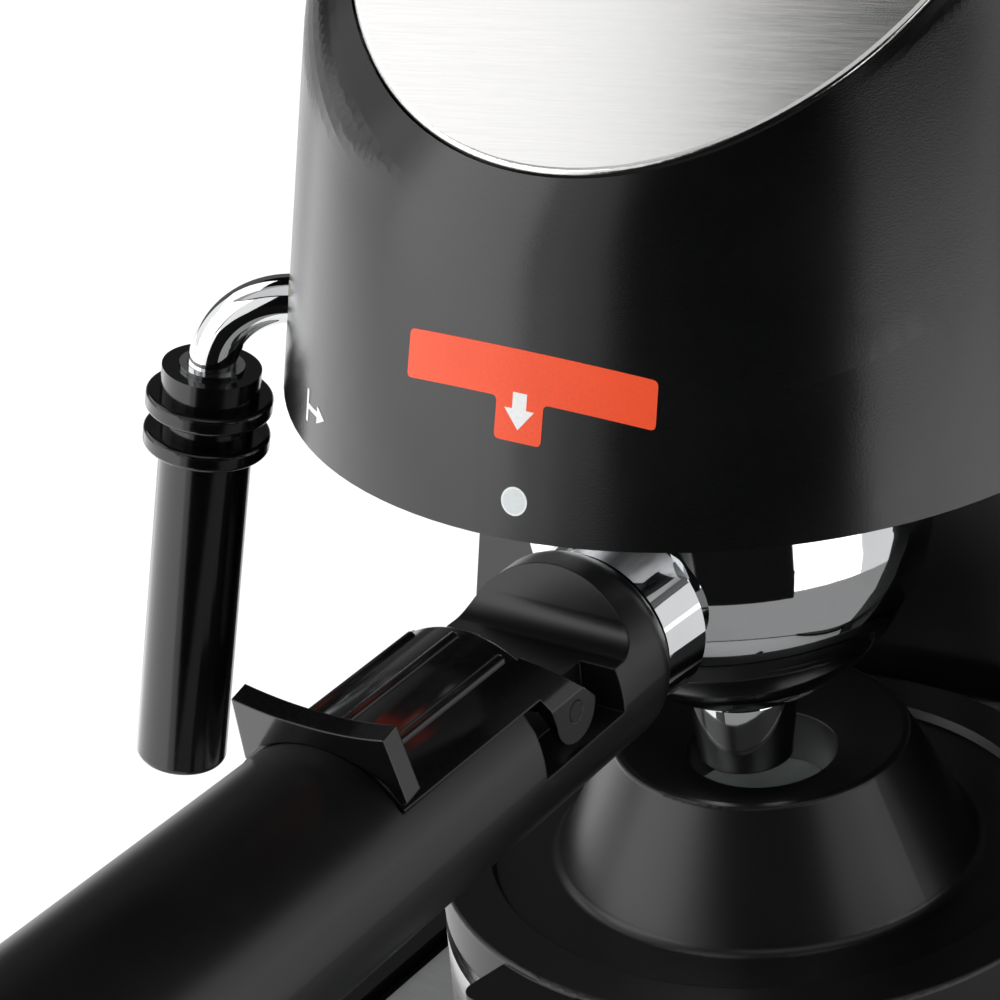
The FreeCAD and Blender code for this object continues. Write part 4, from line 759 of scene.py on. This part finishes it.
@dataclass
class Assembly:
    """Sub-assembly of the machine: dresses its parts and adds what they lack."""

    def finishes(self) -> dict[str, Finish]:
        """Finish of each part; each sub-assembly has its own."""
        raise NotImplementedError

    def extras(self) -> list[bpy.types.Object]:
        """Pieces that the parts don't have; none unless a sub-assembly makes some."""
        return []

    def build(self) -> None:
        """Dresses the parts, makes the extra pieces and reports both."""
        for name, finish in self.finishes().items():
            finish.put(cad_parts[name])
            LOG.info("%s: %s", name, finish.material().name)
        for item in self.extras():
            LOG.info("%s: made", item.name)


@dataclass
class BaseUnit(Assembly):
    """Base shell on rubber feet, with its plate, screws and cord gland."""

    def finishes(self) -> dict[str, Finish]:
        """Satin shell and plate, rubber feet and plated screws."""
        return {"base_shell": SHELL, "bottom_plate": SHELL, "cord_gland": GRIP,
                "rubber_feet": SOFT, "bottom_screws": ZINC}


@dataclass
class DripTray(Assembly):
    """Drip tray and the slotted plate on it."""

    def finishes(self) -> dict[str, Finish]:
        """Satin tray and brushed plate."""
        return {"drip_tray": SHELL, "drip_grate": SHEET}


@dataclass
class Tower(Assembly):
    """Rear tower with the mains switch, and the lamp that shows when it is on."""

    def finishes(self) -> dict[str, Finish]:
        """Satin tower, glossy rocker and red lamp."""
        return {"tower_shell": SHELL, "switch_frame": GRIP, "power_rocker": GLOSS,
                "indicator_lens": RED_LAMP}


@dataclass
class Head(Assembly):
    """Round head that leans back: shell, floor, steel panel, filler collar and plain marks.

    The skin's sizes are in millimetres, its angles in degrees. Marks lie by their angle from
    the front, to the right, and their height above the table. A print that lies on another one
    stands off the skin by the overprint.
    """

    draft: float = HEAD_DRAFT
    lean: float = HEAD_LEAN
    overprint: float = 0.1
    dot_turn: float = 5.79
    dot_height: float = 189.2
    dot_radius: float = 2.1
    dot_rim: float = 0.3
    bar_turn: float = -35.2
    bar_height: float = 189.7
    bar_long: float = 4.9
    bar_wide: float = 0.75
    pointer_reach: float = 6.6
    pointer_head: float = 2.7
    film_turn: float = 6.4
    film_height: float = 207.6
    film_wide: float = 41.6
    film_high: float = 7.2
    film_tilt: float = -3.1
    film_bow: float = 0.0043
    film_corner: float = 0.9
    stem_wide: float = 7.7
    stem_drop: float = 9.8
    arrow_top: float = -2.6
    arrow_tip: float = -8.0
    arrow_head: float = 3.0
    arrow_wide: float = 4.9
    arrow_shaft: float = 2.3

    def finishes(self) -> dict[str, Finish]:
        """Satin shell with a brushed panel."""
        return {"head_shell": BROW, "head_floor": SHELL, "top_panel": PANEL, "filler_collar": GRIP}

    def skin(self, turn: float, height: float, bow: float = 0.0) -> Place:
        """Way to lay a flat outline on the front of the head.

        Args:
            turn: Angle of the outline's origin from the front, in degrees.
            height: Height of the outline's origin above the table, in millimetres.
            bow: How fast the ends of a straight outline drop, per millimetre.

        Returns:
            The placing function.
        """
        low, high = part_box("head_shell")
        bottom = low[2] / MM
        reach = (high[0] - low[0]) / 2.0 / MM

        def place(across: float, up: float, proud: float) -> Vector:
            """Point on the skin for a flat place.

            Args:
                across: Distance along the skin to the right.
                up: Distance upwards.
                proud: Height off the skin.

            Returns:
                The point, in metres.
            """
            level = height + up - bow * across ** 2
            rise = level - bottom
            radius = reach - rise * math.tan(math.radians(self.draft)) + proud
            middle = rise * math.tan(math.radians(self.lean)) + BREW_Y
            angle = math.radians(turn) + across / reach
            return Vector((radius * math.sin(angle), middle - radius * math.cos(angle), level)) * MM

        return place

    def tilted(self, corners: Sequence[tuple[float, float]]) -> list[tuple[float, float]]:
        """Corners turned by the tilt of the film."""
        turn = Matrix.Rotation(math.radians(self.film_tilt), 2)
        return [tuple(turn @ Vector(c)) for c in corners]

    def film_corners(self) -> list[tuple[float, float]]:
        """Corners of the film: a bar with a short stem below it.

        Returns:
            The corners, in millimetres from the mark's origin.
        """
        half, high, stem = self.film_wide / 2.0, self.film_high / 2.0, self.stem_wide / 2.0
        return self.tilted([(-half, high), (-half, -high), (-stem, -high), (-stem, -self.stem_drop),
                            (stem, -self.stem_drop), (stem, -high), (half, -high), (half, high)])

    def arrow_corners(self) -> list[tuple[float, float]]:
        """Corners of the plain arrow on the film's stem.

        Returns:
            The corners, in millimetres from the mark's origin.
        """
        shaft, wing, neck = self.arrow_shaft / 2.0, self.arrow_wide / 2.0, self.arrow_tip + self.arrow_head
        return self.tilted([(-shaft, self.arrow_top), (-shaft, neck), (-wing, neck), (0.0, self.arrow_tip),
                            (wing, neck), (shaft, neck), (shaft, self.arrow_top)])

    def pointer_corners(self) -> list[tuple[float, float]]:
        """Corners of the upright bar with a pointer to the right.

        Returns:
            The corners, in millimetres from the mark's origin.
        """
        wide, long, line = self.bar_wide / 2.0, self.bar_long / 2.0, self.bar_wide / 2.0
        neck, wing = self.pointer_reach - self.pointer_head, self.pointer_head / 2.0
        return [(-wide, long), (-wide, -long), (wide, -long), (wide, -line), (neck, -line), (neck, -wing),
                (self.pointer_reach, 0.0), (neck, wing), (neck, line), (wide, line), (wide, long)]

    def extras(self) -> list[bpy.types.Object]:
        """Makes the marks.

        Returns:
            The films.
        """
        dot = self.skin(self.dot_turn, self.dot_height)
        pointer = self.skin(self.bar_turn, self.bar_height)
        sticker = self.skin(self.film_turn, self.film_height, self.film_bow)
        rim = Outline.ring(self.dot_radius)
        core = Outline.ring(self.dot_radius - self.dot_rim)
        body = Body.MACHINE
        return [
            film("lock_dot_rim", rim, dot, WHITE_INK, body),
            film("lock_dot", core, dot, PALE_INK, body, self.overprint),
            film("insert_pointer", Outline(self.pointer_corners()), pointer, WHITE_INK, body),
            film("lock_film", Outline(self.film_corners(), self.film_corner), sticker, ORANGE_FILM, body),
            film("lock_arrow", Outline(self.arrow_corners()), sticker, WHITE_INK, body, self.overprint),
        ]


@dataclass
class BrewGroup(Assembly):
    """Brew head under the boiler with its gasket, shower screen and screws."""

    def finishes(self) -> dict[str, Finish]:
        """Cast head, steel screen and rubber gasket."""
        return {"brew_head": ALLOY, "shower_screen": SHEET, "group_gasket": SOFT,
                "screen_screw": ZINC, "group_screws": ZINC}


@dataclass
class BoilerUnit(Assembly):
    """Boiler with its heater, valve and pipe, the screw cap with its relief valve, and the knob.

    Sizes are in millimetres: the relief valve's rise, which is not used, and the width, the ends above
    its axis and the rounded corners of the knob's line.
    """

    relief_rise: float = 1.5
    line_wide: float = 1.3
    line_low: float = 3.6
    line_high: float = 10.4
    line_corner: float = 0.3

    def finishes(self) -> dict[str, Finish]:
        """Cast boiler, brass fittings and matte cap and knob."""
        return {"boiler": ALLOY, "heater_ring": ALLOY, "thermostats": ALLOY, "steam_valve": BRASS,
                "steam_pipe": BRASS, "valve_stem": BRASS, "cap_plug": BRASS, "relief_valve": BRASS,
                "relief_spring": ZINC, "cap_seal": SOFT, "boiler_cap": GRIP, "selector_knob": GRIP}

    def extras(self) -> list[bpy.types.Object]:
        """Makes the knob's line, and gives the relief spring a mesh of its own.

        Returns:
            The line.
        """
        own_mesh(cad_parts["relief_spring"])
        inner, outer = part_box("selector_knob")
        middle = (Vector(inner) + Vector(outer)) / 2.0

        def place(across: float, up: float, proud: float) -> Vector:
            """Point on the knob's face for a flat place."""
            return Vector((outer[0] + proud * MM, middle.y + across * MM, middle.z + up * MM))

        half = self.line_wide / 2.0
        line = Outline([(-half, self.line_low), (half, self.line_low), (half, self.line_high),
                        (-half, self.line_high)], self.line_corner)
        return [film("knob_line", line, place, WHITE_INK, Body.KNOB)]


@dataclass
class Holder(Assembly):
    """Filter holder: chrome bowl and spout, basket, handle, and the clip that keeps the basket in."""

    def finishes(self) -> dict[str, Finish]:
        """Chrome bowl, matte handle and glossy clip."""
        return {"holder_bowl": CHROME, "holder_spout": CHROME, "filter_basket": SHEET,
                "holder_handle": GRIP, "handle_bolt": ZINC, "filter_clip": GLOSS, "clip_pins": BLACKED}


@dataclass
class SteamArm(Assembly):
    """Steam tube with its bush and nozzle, and the frothing sleeve that pulls off it."""

    def finishes(self) -> dict[str, Finish]:
        """Chrome tube and glossy sleeve."""
        return {"steam_tube": CHROME, "wand_bush": BRASS, "steam_nozzle": BRIGHT,
                "froth_sleeve": TUBE, "sleeve_ferrule": BRIGHT}


@dataclass
class Carafe(Assembly):
    """Glass carafe with its steel band, handle and lid."""

    def finishes(self) -> dict[str, Finish]:
        """Clear glass, brushed band and matte lid and handle."""
        return {"carafe_glass": GLASS, "carafe_band": BAND, "carafe_handle": GRIP, "carafe_lid": GRIP}


@dataclass
class Studio:
    """Camera, floor, light and cards round the machine.

    The camera's eye is in millimetres, like its lens and sensor, and its angles are in degrees. The rest
    is in metres, and a glow or a fill of 1 is white.
    """

    lens: float = 166.2
    sensor: float = 36.0
    eye: tuple[float, float, float] = (353.003, -535.261 + BREW_Y, 491.0)
    azimuth: float = 36.6
    pitch: float = 27.32
    roll: float = -5.34
    nearest: float = 0.01
    farthest: float = 50.0
    floor_half: float = 4.0
    floor_drop: float = 0.0002
    floor_glow: float = 0.62
    fill: float = 0.66
    dome: float = 3.2
    aim_height: float = 0.19

    def camera(self) -> None:
        """Camera where the photograph was taken from."""
        turn, down, roll = (math.radians(v) for v in (self.azimuth, self.pitch, self.roll))
        spin = Matrix.Rotation(turn, 3, "Z")
        right = spin @ Vector((1.0, 0.0, 0.0))
        up = spin @ Vector((0.0, math.sin(down), math.cos(down)))
        ahead = spin @ Vector((0.0, math.cos(down), -math.sin(down)))
        across = math.cos(roll) * right + math.sin(roll) * up
        above = -math.sin(roll) * right + math.cos(roll) * up
        data = bpy.data.cameras.new("camera")
        data.lens = self.lens
        data.sensor_width = self.sensor
        data.clip_start = self.nearest
        data.clip_end = self.farthest
        item = bpy.data.objects.new("camera", data)
        bpy.context.scene.collection.objects.link(item)
        pose = Matrix((across, above, -ahead)).transposed().to_4x4()
        pose.translation = Vector(self.eye) * MM
        item.matrix_world = pose
        bpy.context.scene.camera = item

    def seen(self, tree: Tree) -> Wire:
        """1 for rays that should meet a white background.

        Args:
            tree: Tree of the floor or the world.

        Returns:
            The mask.
        """
        rays = [tree.make("ShaderNodeLightPath", {}, {}, name)
                for name in ("Is Camera Ray", "Is Glossy Ray", "Is Transmission Ray")]
        return rays[0].larger(rays[1]).larger(rays[2])

    def floor(self) -> None:
        """Pale floor that looks white and keeps the shadow."""
        bm = bmesh.new()
        bmesh.ops.create_grid(bm, x_segments=8, y_segments=8, size=self.floor_half)
        item = new_object("floor", bm)
        item.location.z = -self.floor_drop
        material = bpy.data.materials.new("floor_paper")
        tree = Tree(material)
        paper = tree.blend(tree.noise(30.0, 3.0), grey(0.46), grey(0.5))
        matt = tree.make("ShaderNodeBsdfDiffuse", {}, {"Color": paper})
        glow = tree.make("ShaderNodeEmission", {}, {"Color": WHITE, "Strength": self.floor_glow})
        both = tree.make("ShaderNodeAddShader", {}, {0: matt, 1: glow})
        tree.finish(tree.make("ShaderNodeMixShader", {}, {0: self.seen(tree), 1: matt, 2: both}))
        item.data.materials.append(material)

    def world(self) -> None:
        """White surroundings, dimmer for the light they give."""
        world = bpy.data.worlds.new("studio")
        bpy.context.scene.world = world
        tree = Tree(world)
        dim = tree.make("ShaderNodeBackground", {}, {"Color": WHITE, "Strength": self.fill})
        clear = tree.make("ShaderNodeBackground", {}, {"Color": WHITE, "Strength": 1.0})
        both = tree.make("ShaderNodeMixShader", {}, {0: self.seen(tree), 1: dim, 2: clear})
        tree.make("ShaderNodeOutputWorld", {}, {"Surface": both})

    def towards(self, azimuth: float, height: float, distance: float) -> Vector:
        """Place round the machine.

        Args:
            azimuth: Angle from the front, to the right, in degrees.
            height: Height above the table, in metres.
            distance: Level distance from the brew axis, in metres.

        Returns:
            The place, in metres.
        """
        angle = math.radians(azimuth)
        return Vector((math.sin(angle) * distance, BREW_Y * MM - math.cos(angle) * distance, height))

    def softbox(self, name: str, spot: Vector, wide: float, high: float, glow: float) -> None:
        """Soft box that faces the head.

        Args:
            name: Name of the lamp.
            spot: Place, in metres.
            wide: Width, in metres.
            high: Height, in metres.
            glow: How bright its face is; 1 is white.
        """
        data = bpy.data.lights.new(name, "AREA")
        data.shape = "RECTANGLE"
        data.size = wide
        data.size_y = high
        data.energy = glow * math.pi * wide * high
        item = bpy.data.objects.new(name, data)
        item.location = spot
        item.rotation_mode = "QUATERNION"
        aim = Vector((0.0, 0.0, self.aim_height)) - spot
        item.rotation_quaternion = aim.to_track_quat("-Z", "Y")
        item.visible_camera = False
        bpy.context.scene.collection.objects.link(item)

    def card(self, name: str, rows: Sequence[Sequence[Vector]], glow: float = 0.0) -> None:
        """Card that only reflections see: black felt, or lit paper.

        Args:
            name: Name of the card.
            rows: Rows of points that the card spans.
            glow: How bright the paper is; 0 is felt.
        """
        bm = bmesh.new()
        grid = [[bm.verts.new(p) for p in row] for row in rows]
        for low, top in zip(grid, grid[1:]):
            for i in range(len(low) - 1):
                bm.faces.new((low[i], low[i + 1], top[i + 1], top[i]))
        item = new_object(name, bm)
        material = bpy.data.materials.new(f"{name}_cover")
        tree = Tree(material)
        if glow:
            fibre = tree.blend(tree.noise(60.0, 3.0), grey(0.94), grey(1.0))
            tree.finish(tree.make("ShaderNodeEmission", {}, {"Color": fibre, "Strength": glow}))
        else:
            felt = tree.blend(tree.noise(200.0, 2.0), grey(0.004), grey(0.008))
            tree.finish(tree.make("ShaderNodeBsdfDiffuse", {}, {"Color": felt}))
        item.data.materials.append(material)
        item.visible_camera = False
        item.visible_shadow = False
        item.visible_diffuse = False
        item.visible_transmission = False

    def fan(self, turns: Sequence[float], near: float | Sequence[float],
            far: float | Sequence[float], lift: float = 0.002) -> list[list[Vector]]:
        """Rows of a flat card that spreads round the machine.

        Args:
            turns: Angles from the front, to the right, in degrees.
            near: Distance of the near edge, one or one for each angle.
            far: Distance of the far edge, likewise.
            lift: Height above the floor.

        Returns:
            The near row and the far row.
        """
        rows = []
        for edge in (near, far):
            reach = edge if isinstance(edge, Sequence) else [edge] * len(turns)
            rows.append([self.towards(a, lift, d) for a, d in zip(turns, reach)])
        return rows

    def cap(self, turns: Sequence[float], low: int, high: int) -> list[list[Vector]]:
        """Rows of a piece of the dome.

        Args:
            turns: Angles from the front, to the right, in degrees.
            low: Lowest angle above the floor, in degrees.
            high: Highest angle above the floor, in degrees.

        Returns:
            The rows, from the lowest up.
        """
        ups = [math.radians(up) for up in range(low, high + 1, 5)]
        spots = [(self.dome * math.sin(up), self.dome * math.cos(up)) for up in ups]
        return [[self.towards(a, height, reach) for a in turns] for height, reach in spots]

    def cards(self) -> None:
        """Felt and dim paper on a dome; felt, lit paper and dim paper of painted shade on the table."""
        self.card("front_dome", self.cap(range(-20, 151, 10), 0, 40))
        self.card("rear_dome", self.cap(range(150, 341, 10), 0, 40), glow=0.1)
        self.card("roof_front", self.cap(range(-40, 121, 10), 40, 80), glow=0.75)
        self.card("roof_left", self.cap(range(-60, -39, 10), 40, 80), glow=0.4)
        self.card("roof_felt", self.cap(range(120, 301, 10), 40, 80))
        self.card("roof_crown", self.cap(range(-180, 181, 10), 80, 90), glow=0.4)
        self.card("front_felt", self.fan(range(-10, 66, 5), 0.22, self.dome))
        side = (65.0, 77.0, 91.0, 106.0)
        edge = (1.8, 1.6, 1.36, 1.2)
        back = (106.0, 120.0, 135.0, 150.0)
        self.card("side_paper", self.fan(side, 0.25, edge), glow=2.4)
        self.card("side_felt", self.fan(side, edge, self.dome))
        self.card("back_paper", self.fan(back, 0.25, 1.2), glow=0.8)
        # Dim paper close round the machine: painted shade, the machine's shadow on the floor as reflections
        # see it
        self.card("painted_floor_shade", self.fan(range(-10, 151, 10), 0.1, 0.25, lift=0.001), glow=0.3)
        self.card("left_paper", self.fan(range(-105, -19, 5), 0.2, 1.0), glow=2.2)
        self.card("rear_paper", self.fan(range(-150, -104, 5), 0.2, 1.0), glow=1.2)

    def build(self) -> None:
        """Sets up the whole studio."""
        self.camera()
        self.floor()
        self.world()
        self.softbox("left_box", self.towards(-41.0, 0.5, 1.24), wide=1.1, high=1.0, glow=2.3)
        self.softbox("far_left_box", self.towards(-80.5, 0.5, 1.3), wide=0.72, high=1.0, glow=0.95)
        self.softbox("edge_box", self.towards(-6.0, 0.5, 1.35), wide=0.46, high=1.0, glow=1.0)
        self.softbox("right_box", self.towards(122.0, 0.28, 1.25), wide=1.0, high=0.56, glow=0.8)
        self.softbox("side_box", self.towards(95.0, 0.5, 1.3), wide=1.25, high=0.3, glow=1.9)
        self.softbox("top_box", Vector((-1.12, -0.1, 1.25)), wide=1.06, high=1.0, glow=1.5)
        self.cards()


def main() -> None:
    """Builds the looks in order."""
    logging.basicConfig(level=logging.INFO, format="%(name)s: %(message)s")
    bpy.context.scene.view_settings.view_transform = "Standard"
    Studio().build()
    for kind in (BaseUnit, DripTray, Tower, Head, BrewGroup, BoilerUnit, Holder, SteamArm, Carafe):
        kind().build()


if __name__ == "__main__":
    main()
